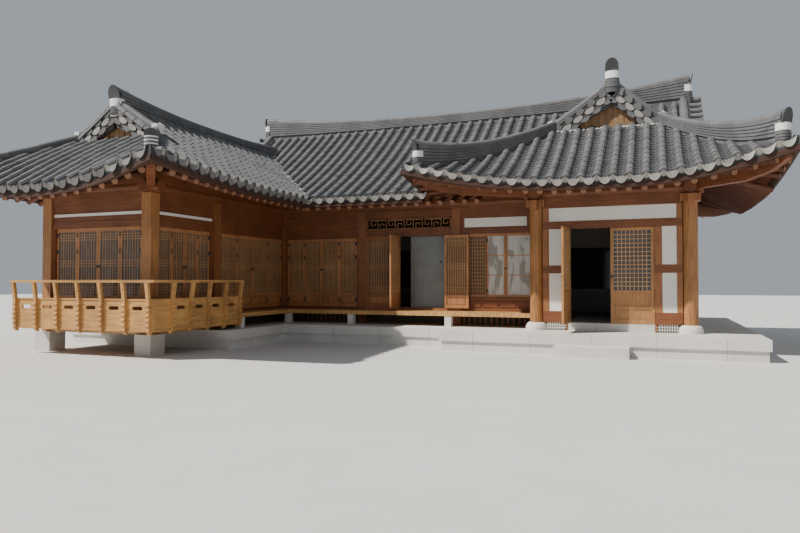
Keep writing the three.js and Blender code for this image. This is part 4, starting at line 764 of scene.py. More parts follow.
# Pale end tiles on the sunlit eaves; the other eaves take a darker copy as painted shade.
LIT_EAVES = ("main_front", "right_wing_front")
for side_name, roof, side, low, high in roof_sides:
    cover_lines, pan_lines = row_lines(low, high)
    covers = Piece("cover_tiles_" + side_name, [tile_grey, tile_pale], "tile")
    pans = Piece("pan_tiles_" + side_name, [pan_grey_painted_shade], "tile")
    ends = Piece("eave_end_tiles_" + side_name, [tile_pale if side_name in LIT_EAVES else tile_end_painted_shade], "tile")
    cover_rows(covers, roof, side, cover_lines)
    pan_rows(pans, ends, roof, side, pan_lines)
    covers.make()
    pans.make()
    if ends.faces:
        ends.make()


# Stacked ridges

LAYER = 0.04
SHADOW_GAP = 0.012
STACK_FOOT = 0.1
STACK_COVER = 0.08
RIDGE_WIDTH, RAKE_WIDTH, HIP_WIDTH = 0.27, 0.21, 0.2
RIDGE_CURVE = 2.4
RIDGE_END = (0.28, 0.16)
RAKE_STACK = (0.27, 0.04, 4)
ridge_materials = [tile_grey, mortar, lime, tile_dark]
TILE, MORTAR_PAINTED_SHADE, LIME, DARK_TILE = range(4)


def stack_profile(width, height):
    """Half outline of a stacked ridge from its foot to its round cover: points and materials."""
    stack = height - STACK_COVER - STACK_FOOT
    layers = max(2, int(round(stack / (LAYER + SHADOW_GAP))))
    layer = stack / layers
    half = width / 2
    outline, kinds = [(half - 0.03, -0.16), (half - 0.03, STACK_FOOT)], [TILE]
    z = STACK_FOOT
    for _ in range(layers):
        thick = layer - SHADOW_GAP
        # The recessed band of each layer takes the near-black mortar as painted shade.
        outline += [(half, z), (half - 0.002, z + thick), (half - 0.02, z + thick), (half - 0.02, z + layer)]
        kinds += [TILE, TILE, TILE, MORTAR_PAINTED_SHADE]
        z += layer
    radius = min(0.085, half - 0.02)
    outline += [(radius * cosine, z + (height - z) * sine) for cosine, sine in arc(4, math.pi / 2)]
    return outline, kinds + [TILE] * 5


def stacked_ridge(piece, path, width):
    """Sweeps the stacked outline along points of (x, y, foot z, top z)."""
    usual = sum(top - foot for _, _, foot, top in path) / len(path)
    outline, half_kinds = stack_profile(width, usual)
    rings = []
    for index, (x, y, foot, top) in enumerate(path):
        before = path[max(0, index - 1)]
        after = path[min(len(path) - 1, index + 1)]
        direction = Vector((after[0] - before[0], after[1] - before[1], 0)).normalized()
        normal = Vector((direction.y, -direction.x, 0))
        scale = (top - foot) / usual
        both = outline + [(-reach, z) for reach, z in reversed(outline[:-1])]
        rings.append([(x + normal.x * reach, y + normal.y * reach, foot + z * scale) for reach, z in both])
    piece.rings(rings, step_materials=half_kinds + half_kinds[::-1])
    piece.polygon(rings[0], MORTAR_PAINTED_SHADE)
    piece.polygon(rings[-1][::-1], MORTAR_PAINTED_SHADE)


def ridge_end(piece, point, direction, width, foot, top, cap, white, striped=False):
    """The closed end of a stack: grey layers, a white plaster band and a dark arched tile over it."""
    x, y = point
    out = Vector((direction[0], direction[1], 0)).normalized()
    across = Vector((out.y, -out.x, 0))
    half = width / 2 + 0.004

    def put(a, b, z):
        return (x + across.x * a + out.x * b, y + across.y * a + out.y * b, z)

    def band(grow, z0, z1, material):
        bow = [((half + grow) * cosine, (0.075 + grow) * sine) for cosine, sine in arc(8, math.pi)]
        plan = [(half + grow, -0.1), *bow, (-half - grow, -0.1)]
        upper = [put(a, b, z1) for a, b in plan]
        lower = [put(a, b, z0) for a, b in plan]
        piece.rings([upper, lower], material, closed=True)
        piece.polygon(upper[::-1], material)
        piece.polygon(lower, material)

    white_top = top - cap
    white_low = white_top - white
    band(0.0, foot - 0.1, white_low, MORTAR_PAINTED_SHADE)
    band(0.006, white_low, white_top, LIME)
    z = foot + 0.02
    while z + LAYER < white_low:
        band(0.012, z, z + LAYER, TILE)
        z += LAYER + SHADOW_GAP
    if striped:
        for share in (0.12, 0.42, 0.72):
            z = white_low + share * white
            band(0.014, z, z + 0.16 * white, TILE)
    if not cap:
        return
    front, back = [], []
    for cosine, sine in arc(12, math.pi):
        a = (half + 0.008) * cosine
        rise = cap * (0.3 + 0.7 * sine) if sine > 1e-6 else 0.0
        lean = 0.045 + 0.2 * rise
        front.append(put(a, lean, white_top + rise))
        back.append(put(a, lean - 0.03, white_top + rise))
    piece.polygon(front[::-1], DARK_TILE)
    piece.polygon(back, DARK_TILE)
    piece.rings([front, back], DARK_TILE, closed=True)
    radius = half * 0.62
    piece.tube(put(0, 0.03, top - radius * 1.25), put(0, -0.3, top - radius * 1.5), radius, 12)


def slope_height(d):
    return EAVE_TOP + RISE * d + HOLLOW * d * d


def ridge_path(start, end, surface, stack, steps=60):
    """Path along a main ridge, whose top lifts towards both ends."""
    path = []
    low, rise_start, rise_end = stack
    for step in range(steps + 1):
        share = step / steps
        lift = rise_start * max(0, 1 - share * 2) ** RIDGE_CURVE
        lift += rise_end * max(0, share * 2 - 1) ** RIDGE_CURVE
        x = start[0] + share * (end[0] - start[0])
        y = start[1] + share * (end[1] - start[1])
        path.append((x, y, surface, surface + low + lift))
    return path


def side_point(roof, long, end, long_distance, end_distance):
    """Plan point at given distances from a long side's eave and an end's eave."""
    on_long = long.at + long.sign * long_distance / long.ratio
    on_end = end.at + end.sign * end_distance / end.ratio
    return (on_end, on_long) if roof.along_x else (on_long, on_end)


def slope_path(roof, long, end, start, stop, stack, steps=20):
    """Path on the long side's tiles between two (long distance, end distance) pairs."""
    path = []
    low, rise, curve = stack
    for step in range(steps + 1):
        share = step / steps
        long_distance = start[0] + share * (stop[0] - start[0])
        end_distance = start[1] + share * (stop[1] - start[1])
        x, y = side_point(roof, long, end, long_distance, end_distance)
        point = roof.at(long, np.array(y if long.axis == 0 else x), np.array(long_distance))
        foot = float(point[2])
        path.append((float(point[0]), float(point[1]), foot, foot + low + rise * share**curve))
    return path


def end_of_path(piece, path, width, cap, white, striped=False, sunk=0.0):
    foot, before = path[-1], path[-3]
    direction = (foot[0] - before[0], foot[1] - before[1])
    ridge_end(piece, foot[:2], direction, width, foot[2] - sunk, foot[3] + 0.01, cap, white, striped)


def build_ridges():
    west_end, east_end = EAVE_WEST + WEST_GABLE - 0.01, EAVE_EAST - USUAL_GABLE / EAST_RATIO + 0.01
    left_end = LEFT_EAVE_FRONT + USUAL_GABLE / FRONT_RATIO + 0.03
    right_end = RIGHT_EAVE_FRONT + RIGHT_GABLE - 0.01
    top_lines = {
        "main": ((west_end, MAIN_RIDGE), (east_end, MAIN_RIDGE)),
        "left_wing": ((LEFT_RIDGE, left_end), (LEFT_RIDGE, 2.38)),
        "right_wing": ((RIGHT_RIDGE, right_end), (RIGHT_RIDGE, MAIN_RIDGE - 0.14)),
    }
    hip_ends = {"main": (0.2, 0.1), "left_wing": (0.13, 0.2, True), "right_wing": (0.26, 0.13)}
    for roof in ROOFS:
        piece = Piece("stacked_ridge_" + roof.name, ridge_materials, "tile")
        path = ridge_path(*top_lines[roof.name], slope_height(roof.run), roof.ridge_stack)
        stacked_ridge(piece, path, RIDGE_WIDTH)
        end_of_path(piece, path[::-1], RIDGE_WIDTH, *RIDGE_END)
        if roof.along_x:
            end_of_path(piece, path, RIDGE_WIDTH, *RIDGE_END)
        for end, gable in zip(roof.hips, roof.gables):
            for long in roof.slopes:
                inset = gable + 0.115 * end.ratio
                above, below = (roof.run - 0.06, inset), (gable - 0.01, inset)
                rake = slope_path(roof, long, end, above, below, RAKE_STACK)
                stacked_ridge(piece, rake, RAKE_WIDTH)
                end_of_path(piece, rake, RAKE_WIDTH, 0.0, 0.2)
                x, y, _, top = rake[-1]
                for number in range(6):
                    piece.lump((x, y, top - 0.16 + 0.035 * number), 0.1 - 0.008 * number, LIME)
                if roof.ends_at_corner(long, end):
                    hip = slope_path(roof, long, end, (gable + 0.04,) * 2, (0.21, 0.21), roof.hip_stack, 24)
                    stacked_ridge(piece, hip, HIP_WIDTH)
                    end_of_path(piece, hip, HIP_WIDTH, *hip_ends[roof.name], sunk=0.02)
        piece.make(["ridge_" + roof.name])


build_ridges()


# Gables, and mortar where slopes meet

VERGE_TILE = 0.25
VERGE_OVERHANG = 0.26
PLANK = 0.14
LUMP_SPACING = 0.09


def verge_lobe(piece, centre, across, off, out, half, depth, material=0):
    """A lens-shaped end tile that faces out of the gable."""
    rim = []
    for cosine, sine in circle(16):
        reach = depth if sine > 0 else 0.45 * depth
        rim.append(centre + across * (half * cosine) - off * (reach * sine))
    front = [point + out * 0.014 for point in rim]
    back = [point - out * 0.02 for point in rim]
    piece.polygon(front, material)
    piece.rings([front, back], material, closed=True)


def verge(lobes, boards, roof, long, end, gable, out):
    """Three rows of end tiles under short cover tiles along one verge, and the board behind them in dark grey
    as painted shade.
    """
    overhang = VERGE_OVERHANG if roof.along_x else 0.0
    reach = roof.run - gable
    count = int(round(reach / VERGE_TILE))
    edge = []
    for number in range(count + 1):
        d = gable + 0.06 + number * (reach - 0.1) / count
        x, y = side_point(roof, long, end, d, gable)
        here, _, up, off = roof.frames(long, np.array(y if long.axis == 0 else x), np.array(d))
        here = here + out * overhang
        verge_lobe(lobes, here + off * 0.03 + up * 0.125, up, off, out * 1.4, 0.1, 0.07, 1)
        verge_lobe(lobes, here - off * 0.065, up, off, out, 0.116, 0.085)
        verge_lobe(lobes, here - off * 0.17 + up * 0.125, up, off, out * 0.5, 0.11, 0.07, 1)
        cover = here + off * 0.055 + up * 0.125
        lobes.tube(cover - out * (0.12 + overhang), cover + out * 0.02, 0.072, 10, 1)
        edge.append((here, 0.16 * max(0.0, (d - roof.run + 0.9) / 0.9) ** 2))
    rows = []
    section = ((0.03 + overhang, -0.03, 0), (0.03, -0.03, 0), (0.03, 0.22, 1), (0.09, 0.22, 1))
    for inward, drop, share in section:
        rows.append([point - out * inward - np.array([0, 0, drop + share * more]) for point, more in edge])
    boards.rings(rows)


def gable_planks(boards, roof, long, end, gable, out):
    """Upright planks from the tiles at the gable's foot up to the verge."""
    reach = roof.run - gable
    inner = gable + 0.14 * end.ratio
    low = slope_height(gable) - 0.02
    planks = int(round(reach / PLANK))
    for number in range(planks):
        near = gable + number * reach / planks
        far = near + reach / planks - 0.004
        x0, y0 = side_point(roof, long, end, near, inner)
        x1, y1 = side_point(roof, long, end, far, inner)
        high0, high1 = slope_height(near) - 0.17, slope_height(far) - 0.17
        if high1 > low + 0.02:
            shift = out * 0.012 * (number % 2)
            corners = [(x0, y0, low), (x1, y1, low), (x1, y1, high1), (x0, y0, max(high0, low))]
            boards.polygon([np.array(corner) + shift for corner in corners], 1)


def build_gables():
    lobes = Piece("verge_end_tiles", [tile_pale, tile_grey], "tile")
    boards = Piece("gable_boards", [pan_grey_painted_shade, wood("gable_planks", (0.3, 0.17, 0.08), 2)], "timber")
    mortar_line = Piece("gable_mortar", [lime], "plaster")
    for roof in ROOFS:
        for end, gable in zip(roof.hips, roof.gables):
            out = np.array([*end.out(), 0.0])
            for long in roof.slopes:
                verge(lobes, boards, roof, long, end, gable, out)
                gable_planks(boards, roof, long, end, gable, out)
                for number in range(int((roof.run - gable) / LUMP_SPACING)):
                    x, y = side_point(roof, long, end, gable + 0.05 + number * LUMP_SPACING, gable - 0.01)
                    mortar_line.lump((x, y, slope_height(gable) + 0.06), 0.045)
    lobes.make()
    boards.make()
    valleys = Piece("valley_mortar", [lime], "plaster")
    for x in [*np.arange(-4.85, -2.3, 0.055), *np.arange(0.85, 4.5, 0.055)]:
        run = visible_run(main_roof, main_south, x)
        if run and run[0] > 0.06:
            y = MAIN_EAVE_FRONT + run[0]
            base = float(main_roof.height(x, y, run[0]))
            for _ in range(2):
                shift = 0.05 * random.random()
                valleys.lump((x + shift - 0.02, y + shift - 0.04, base + 0.06 + shift), 0.045)
    mortar_line.make()
    valleys.make()


build_gables()


# Rafters under the eaves

RAFTER_RADIUS = 0.056
RAFTER_SPACING = 0.285
FAN_SPACING = 0.27
RAFTER_DROP = RAFTER_RADIUS + 0.004
RAFTER_SETBACK = 0.1
SHELL_EDGE = 0.16
SHELL_GROWTH = 0.12
SHELL_DEPTH = 0.3
EAVE_REACH = 1.3


def underside(roof, side, t, d):
    """A point on the shell's underside, which grows thicker from the eave to the wall."""
    here = roof.at(side, np.array(float(t)), np.array(float(d)))
    return here[0], here[1], here[2] - SHELL_EDGE - SHELL_GROWTH * min(d, EAVE_REACH) / EAVE_REACH


def house_top(x, y):
    """Height of the highest tiles over a plan point."""
    return max(float(roof.governed(np.array(x), np.array(y))[0]) for roof in ROOFS)


def parallel_rafters(piece, roof, side, t0, t1, wall):
    """Rafters square to an eave between t0 and t1, back to the wall's distance."""
    count = max(1, int(round((t1 - t0) / RAFTER_SPACING)))
    for number in range(count + 1):
        t = t0 + number * (t1 - t0) / count
        ox, oy, oz = underside(roof, side, t, RAFTER_SETBACK)
        ix, iy, iz = underside(roof, side, t, wall + 0.12)
        iz = min(iz, house_top(float(ix), float(iy)) - SHELL_DEPTH)
        inner = (ix, iy, iz - RAFTER_DROP - 0.03)
        piece.tube(inner, (ox, oy, oz - RAFTER_DROP), RAFTER_RADIUS, 10, 0, 1)


def fan_rafters(piece, roof, column, sides):
    """Rafters that turn from square to each eave towards the corner rafter."""
    nearest = min(side.distance(*column) for side, _, _ in sides)
    top = min(slope_height(nearest), house_top(*column)) - SHELL_DEPTH
    for side, corner_t, column_t in sides:
        span = corner_t - column_t
        count = int(abs(span) / FAN_SPACING)
        for number in range(1, count):
            share = number / count
            ox, oy, oz = underside(roof, side, column_t + share * span, RAFTER_SETBACK)
            start = (
                column[0] + 0.08 * (ox - column[0]),
                column[1] + 0.08 * (oy - column[1]),
                top - RAFTER_RADIUS - 0.08 - 0.06 * share,
            )
            piece.tube(start, (ox, oy, oz - RAFTER_DROP), RAFTER_RADIUS, 10, 0, 1)


rafters = Piece("rafters", [rafter_wood, rafter_end], "timber")
east_wall_line = (EAVE_EAST - EAST) * EAST_RATIO
front_wall_line = 1.6 * FRONT_RATIO
for roof, side, t0, t1, wall in [
    (main_roof, main_south, -2.25, 1.9, 1.3),
    (main_roof, main_north, WEST, EAST, 1.3),
    (left_roof, main_west, LEFT_FRONT, BACK, 1.43),
    (main_roof, main_east, RIGHT_FRONT, BACK, east_wall_line),
    (left_roof, left_south, WEST, COURT, front_wall_line),
    (left_roof, left_east, LEFT_FRONT, MAIN_FRONT - 1.25, 1.43),
    (right_roof, right_south, ENTRANCE, EAST, 1.29),
    (right_roof, right_west, RIGHT_FRONT, MAIN_FRONT - 0.3, 2.1),
]:
    parallel_rafters(rafters, roof, side, t0, t1, wall)
for roof, front, eave_front, line_y, side, eave_side, line_x in [
    (main_roof, main_north, MAIN_EAVE_BACK, BACK, main_west, EAVE_WEST, WEST),
    (main_roof, main_north, MAIN_EAVE_BACK, BACK, main_east, EAVE_EAST, EAST),
    (left_roof, left_south, LEFT_EAVE_FRONT, LEFT_FRONT, main_west, EAVE_WEST, WEST),
    (left_roof, left_south, LEFT_EAVE_FRONT, LEFT_FRONT, left_east, LEFT_EAVE_COURT, COURT),
    (right_roof, right_south, RIGHT_EAVE_FRONT, RIGHT_FRONT, right_west, RIGHT_EAVE_COURT, ENTRANCE),
    (right_roof, right_south, RIGHT_EAVE_FRONT, RIGHT_FRONT, main_east, EAVE_EAST, EAST),
]:
    fan_rafters(rafters, roof, (line_x, line_y), [(front, eave_side, line_x), (side, eave_front, line_y)])
rafters.make()

# Battens along the eaves, dark as painted shade under the end tiles.
battens = Piece("eave_battens", [eave_board_painted_shade], "timber")
for roof, side, t0, t1 in [
    (main_roof, main_south, LEFT_EAVE_COURT, RIGHT_EAVE_COURT),
    (main_roof, main_north, EAVE_WEST, EAVE_EAST),
    (main_roof, main_west, MAIN_EAVE_FRONT, MAIN_EAVE_BACK),
    (main_roof, main_east, 1.3, MAIN_EAVE_BACK),
    (left_roof, main_west, LEFT_EAVE_FRONT, MAIN_EAVE_FRONT),
    (left_roof, left_south, EAVE_WEST, LEFT_EAVE_COURT),
    (left_roof, left_east, LEFT_EAVE_FRONT, MAIN_EAVE_FRONT),
    (right_roof, right_west, RIGHT_EAVE_FRONT, MAIN_EAVE_FRONT),
    (right_roof, right_south, RIGHT_EAVE_COURT, EAVE_EAST),
    (right_roof, main_east, RIGHT_EAVE_FRONT, 1.3),
]:
    lines = np.linspace(t0, t1, max(2, int(abs(t1 - t0) / 0.25)) + 1)
    rows = []
    section = [(-0.008, 0.07), (-0.008, 0.15), (0.02, 0.165), (0.05, 0.19), (0.12, 0.19), (0.16, 0.17)]
    for d, drop in section:
        points = roof.at(side, lines, np.full_like(lines, d))
        rows.append([tuple(point - np.array([0, 0, drop])) for point in points])
    battens.rings(rows)
battens.make()


# Doors and windows: bars, panels, glass and fittings on the solid leaves

leaf_materials = [bar_wood, paper_painted_shade, door_wood, iron, glass_dark, curtain, bar_pale, leaf_wood]
BAR, PAPER_PAINTED_SHADE, WOOD, IRON, GLASS, CURTAIN, PALE, LEAF_WOOD = range(8)


def wall_at(y):
    """Moves a wall drawn along X, with its middle at y 0, to its line at y."""
    return lambda point: (point[0], point[1] + y, point[2])


def outer_west(point):
    return (WEST + point[1], -point[0], point[2])


def back_side(point):
    return (-point[0], BACK - point[1], point[2])


def lattice_field(piece, x0, x1, face, z0, z1, columns, back):
    """Close upright bars with three groups of cross bars on both sides of a sheet."""
    y0, y1 = face + 0.004, face + 0.036
    piece.box(x0, x1, y0 + 0.007, y1 - 0.007, z0, z1, back)
    piece.bars(x0, x1, y0, y1, z0, z1, columns, 1, 0.015, BAR)
    for share in (0.05, 0.09, 0.13, 0.46, 0.5, 0.54, 0.87, 0.91, 0.95):
        z = z0 + share * (z1 - z0)
        piece.box(x0, x1, y0 + 0.002, y1 - 0.002, z - 0.006, z + 0.006, BAR)


def ring_handle(piece, x, y, z):
    """A round iron plate with a knob."""
    piece.tube((x, y + 0.002, z), (x, y - 0.006, z), 0.03, 12, IRON)
    piece.tube((x, y, z), (x, y - 0.014, z), 0.013, 10, IRON)


def door_row(name, x0, x1, place, face, back, columns, low_panel):
    """Four leaves side by side: a lattice field, a low panel, a joint line and iron fittings."""
    piece = Piece(name, leaf_materials, "lattice", place=place)
    width = (x1 - x0) / 4
    field_low = 1.13 if low_panel else 1.14
    for leaf in range(4):
        a, b = x0 + leaf * width, x0 + (leaf + 1) * width
        lattice_field(piece, a + 0.053, b - 0.053, face, field_low, 2.43, columns, back)
        if low_panel:
            piece.box(a + 0.075, b - 0.075, face + 0.01, face + 0.03, 0.895, 1.035, WOOD)
            piece.frame(a + 0.05, b - 0.05, face + 0.014, face + 0.026, 0.87, 1.06, 0.012, WOOD)
        else:
            piece.frame(a + 0.06, b - 0.06, face - 0.006, face + 0.002, 0.86, 1.08, 0.025, WOOD)
        if leaf:
            piece.box(a - 0.003, a + 0.003, face - 0.001, face + 0.003, 0.8, 2.49, IRON)
    for x in (x0 + 0.03, x0 + width, x0 + 3 * width, x1 - 0.03):
        for z in (2.365, 2.03, 0.965):
            piece.box(x - 0.022, x + 0.022, face - 0.006, face + 0.001, z - 0.045, z + 0.045, IRON)
    for x in (x0 + 2 * width - 0.03, x0 + 2 * width + 0.03):
        ring_handle(piece, x, face, 1.72)
    piece.make()


RAISED_INSET = 0.1763
for name, x0, x1, place, columns in [
    ("raised_front_lattice", WEST, COURT, wall_at(LEFT_FRONT), 7),
    ("raised_court_lattice", LEFT_FRONT, ROOM_FRONT, quarter_turn(COURT), 6),
    ("raised_outer_lattice", -ROOM_FRONT, -LEFT_FRONT, outer_west, 6),
]:
    door_row(name, x0 + RAISED_INSET, x1 - RAISED_INSET, place, -0.02, GLASS, columns, False)
door_row("main_folding_lattice", -3.4827, -1.4873, wall_at(MAIN_FRONT), -0.04, PAPER_PAINTED_SHADE, 11, True)
door_row("left_wing_folding_lattice", -2.4834, 0.0824, quarter_turn(COURT), -0.04, PAPER_PAINTED_SHADE, 12, True)

ENTRANCE_AXIS_Y = -0.685
LIGHTS_LOW, LIGHTS_HIGH = 1.24, 2.454


def entrance_leaf(name, body, x0, x1, axis_x, degrees, handle_x):
    """Square lights over two rows of low panels, turned to how the leaf stands."""
    piece = Piece(name, leaf_materials, "lattice", body, turn_about(axis_x, ENTRANCE_AXIS_Y, degrees))
    a, b = x0 + 0.06, x1 - 0.06
    piece.box(a, b, -0.6565, -0.6385, LIGHTS_LOW, LIGHTS_HIGH, GLASS)
    piece.bars(a, b, -0.665, -0.63, LIGHTS_LOW, LIGHTS_HIGH, 9, 14, 0.017, PALE)
    middle = (a + b) / 2
    for z0, z1 in ((0.65, 0.86), (0.92, 1.18)):
        piece.box(a - 0.002, b + 0.002, -0.656, -0.639, z0 - 0.002, z1 + 0.002, LEAF_WOOD)
        piece.box(middle - 0.02, middle + 0.02, -0.664, -0.631, z0, z1, LEAF_WOOD)
        for c, d in ((a + 0.03, middle - 0.05), (middle + 0.05, b - 0.03)):
            piece.box(c, d, -0.661, -0.634, z0 + 0.03, z1 - 0.03, LEAF_WOOD)
    ring_handle(piece, handle_x, -0.67, 1.52)
    piece.make()


entrance_leaf("entrance_lattice_left", "left_door", 3.786, 4.616, 3.78, -93, 4.586)
entrance_leaf("entrance_lattice_right", "right_door", 4.624, 5.454, 5.46, 0, 4.654)


def porch_leaf(name, body, x0, x1, face, place):
    piece = Piece(name, leaf_materials, "lattice", body, place=place)
    lattice_field(piece, x0 + 0.05, x1 - 0.05, face, 1.105, 2.45, 11, PAPER_PAINTED_SHADE)
    piece.box(x0 + 0.08, x1 - 0.08, face + 0.008, face + 0.032, 0.89, 1.03, WOOD)
    piece.make()


PORCH_AXIS_Y = 0.135
porch_leaf("porch_lattice_left", "porch_left_door", -0.344, 0.241, 0.15, turn_about(-0.35, PORCH_AXIS_Y, -90))
porch_leaf("porch_lattice_right", "porch_right_door", 0.249, 0.834, 0.15, turn_about(0.84, PORCH_AXIS_Y, 180))
porch_leaf("porch_lattice_fixed", HOUSE, -1.185, -0.56, 0.17, None)


def key_fret(piece, x0, x1, z0, z1, y0, y1):
    """Openwork of square hooks, turned over from one to the next."""
    count = 9
    half = 0.007
    pitch = (x1 - x0) / count
    steps = [(0.0, 0.0), (1.0, 0.0), (1.0, 1.0), (0.28, 1.0), (0.28, 0.38), (0.7, 0.38), (0.7, 0.68)]
    for number in range(count):
        points = []
        for u, v in steps:
            v = v if number % 2 == 0 else 1 - v
            points.append((x0 + (number + u) * pitch, z0 + 0.012 + v * (z1 - z0 - 0.024)))
        for (ax, az), (bx, bz) in zip(points, points[1:]):
            low, high = min(az, bz) - half, max(az, bz) + half
            piece.box(min(ax, bx) - half, max(ax, bx) + half, y0, y1, low, high)


PANE_LOW, PANE_HIGH = 1.115, 2.47
window = Piece("porch_window_lights", leaf_materials, "lattice")
window.bars(1.37, 1.8, 0.213, 0.247, PANE_LOW, PANE_HIGH, 7, 16, 0.009, BAR)
window.box(1.37, 1.8, 0.221, 0.239, PANE_LOW, PANE_HIGH, PAPER_PAINTED_SHADE)
for x0, x1 in ((1.87, 2.23), (2.33, 2.84)):
    window.box(x0, x1, 0.2215, 0.2385, PANE_LOW, PANE_HIGH, CURTAIN)
    window.bars(x0, x1, 0.216, 0.244, PANE_LOW, PANE_HIGH, 1, 3, 0.02, WOOD)
window.boxes(0.202, 0.212, [(1.815, 1.835, 1.08, 2.5), (2.275, 2.285, 1.08, 2.5)], IRON)
for x in (1.845, 2.86):
    for z in (2.38, 1.2):
        window.box(x - 0.02, x + 0.02, 0.204, 0.211, z - 0.04, z + 0.04, IRON)
ring_handle(window, 2.28, 0.21, 1.72)
window.make()


# Timber, plaster and vents on the walls; each wall is drawn along X with its middle at y 0

trim_materials = [timber_x, timber_z, shadow_board]
TIMBER, UPRIGHT, DARK, PLASTER = range(4)
TOP_BEAM = (2.93, 3.14, 0.03)
HEAD_BEAM = (2.505, 2.63, 0.02)
UNDER_PORCH = (0.42, 0.635)
LOW_VENTS = (0.405, 0.56)
VENTS = [(3.32, 3.74), (5.5, 5.92)]


def trim(name, place, parts, face=-0.06):
    """Strips (x0, x1, z0, z1, how far proud, material) on a wall's face; plaster is its own piece."""
    timber = Piece(name, trim_materials, "timber", place=place)
    white = Piece(name.replace("trim", "plaster"), [plaster], "plaster", place=place)
    for x0, x1, z0, z1, proud, material in parts:
        if material == PLASTER:
            white.box(x0, x1, face - proud, face + 0.004, z0, z1)
        else:
            timber.box(x0, x1, face - proud, face + 0.004, z0, z1, material)
    timber.make()
    if white.faces:
        white.make()


def beams_over(x0, x1, levels):
    return [(x0, x1, z0, z1, proud, TIMBER) for z0, z1, proud in levels]


def strips(spans, heights, proud, material):
    """The same strip for each span along the wall at each height."""
    return [(x0, x1, z0, z1, proud, material) for z0, z1 in heights for x0, x1 in spans]


def raised_parts(x0, x1):
    levels = [(0.735, 0.785, 0.012), HEAD_BEAM, (2.715, 2.735, 0.014), (2.795, 2.815, 0.014), TOP_BEAM]
    return beams_over(x0, x1, levels) + [(x0 + 0.03, x1 - 0.03, 2.735, 2.795, 0.008, PLASTER)]


def folding_parts(x0, x1):
    levels = [(0.735, 0.785, 0.02), HEAD_BEAM, (2.83, 3.14, 0.03)]
    return beams_over(x0, x1, levels) + [(x0, x1, *UNDER_PORCH, 0.006, DARK)]


def outer_parts(x0, x1, rail0, rail1, posts, windows):
    parts = beams_over(x0, x1, [TOP_BEAM])
    parts += beams_over(rail0, rail1, [(*LOW_VENTS, 0.012), (1.09, 1.18, 0.012), (2.42, 2.52, 0.012)])
    for x in posts:
        parts.append((x - 0.119, x + 0.119, 0.402, 3.14, 0.06, UPRIGHT))
    for x in windows:
        for middle in (x - 0.56, x + 0.56):
            parts.append((middle - 0.05, middle + 0.05, 1.18, 2.42, 0.012, UPRIGHT))
    return parts


trim("raised_front_trim", wall_at(LEFT_FRONT), raised_parts(-6.13, -3.77))
trim("raised_court_trim", quarter_turn(COURT), raised_parts(-4.49, -2.78))
outer_fill = beams_over(2.78, 4.49, [(2.5, 3.14, 0.005), (0.735, 0.79, 0.005)])
trim("raised_outer_trim", outer_west, raised_parts(2.78, 4.49) + outer_fill)
trim("main_folding_trim", wall_at(MAIN_FRONT), folding_parts(-3.54, -1.43))
trim("left_wing_folding_trim", quarter_turn(COURT), folding_parts(-2.54, 0.14))

LINES = [WEST, COURT, MIDDLE, PORCH, ENTRANCE, EAST]
west_windows = [-(ROOM_FRONT + MAIN_FRONT) / 2, -(MAIN_FRONT + BACK) / 2]
east_windows = [0.75, 3.5]
back_windows = [-(a + b) / 2 for a, b in zip(LINES, LINES[1:])]
west_posts = [-ROOM_FRONT, -MAIN_FRONT]
back_posts = [-line for line in LINES]
trim("west_wall_trim", outer_west, outer_parts(-4.83, 2.54, -4.83, 2.54, west_posts, west_windows))
trim("east_wall_trim", quarter_turn(EAST), outer_parts(-0.46, 5.0, -0.46, 4.83, [2.15, BACK], east_windows))
trim("back_wall_trim", back_side, outer_parts(-6.1, 6.3, -6.0, 6.13, back_posts, back_windows))

return_levels = [(0.405, 0.8, 0.012), (1.59, 1.75, 0.012), (2.5, 2.62, 0.012), TOP_BEAM]
trim(
    "return_wall_trim",
    lambda point: (ENTRANCE + point[1], -point[0], point[2]),
    beams_over(-0.18, 0.46, return_levels),
)
porch_levels = [(2.53, 2.6, 0.015), (2.67, 2.71, 0.012), (2.93, 2.97, 0.012), (3.0, 3.14, 0.03)]
trim(
    "porch_trim",
    wall_at(MAIN_FRONT),
    beams_over(-1.205, 0.995, porch_levels)
    + [(-1.205, 0.995, *UNDER_PORCH, 0.004, DARK)]
    + strips([(-1.2, -1.165), (0.965, 0.995)], [(2.6, 3.0)], 0.012, UPRIGHT),
    face=-0.1,
)
window_levels = [(0.735, 0.8, 0.02), (0.98, 1.05, 0.03), (2.535, 2.66, 0.02), TOP_BEAM]
trim(
    "window_trim",
    wall_at(MAIN_FRONT),
    beams_over(1.22, 3.055, window_levels)
    + [(1.31, 2.77, 2.69, 2.9, 0.008, PLASTER), (1.22, 3.055, *UNDER_PORCH, 0.004, DARK)]
    + strips([(x, x + 0.34) for x in (1.36, 1.76, 2.16, 2.56)], [(0.825, 0.955)], 0.012, TIMBER),
)
entrance_rails = [(0.565, 0.8, 0.012), (1.59, 1.756, 0.012)]
entrance_posts = [(3.265, 3.39), (3.657, 3.775), (5.465, 5.605), (5.872, 5.975)]
trim(
    "entrance_trim",
    wall_at(RIGHT_FRONT),
    beams_over(3.265, 5.975, [(2.52, 2.68, 0.012), (2.96, 3.14, 0.03)])
    + beams_over(3.265, 3.775, entrance_rails)
    + beams_over(5.465, 5.975, entrance_rails)
    + strips(entrance_posts, [(0.8, 1.59), (1.756, 2.515)], 0.012, UPRIGHT)
    + strips([entrance_posts[0], entrance_posts[-1]], [(2.68, 2.96)], 0.012, UPRIGHT)
    + strips(VENTS, [LOW_VENTS], 0.004, DARK)
    + [(3.385, 5.877, 2.675, 2.965, 0.003, PLASTER)]
    + strips([(3.38, 3.67), (5.6, 5.88)], [(0.79, 1.6), (1.74, 2.53)], 0.003, PLASTER),
)

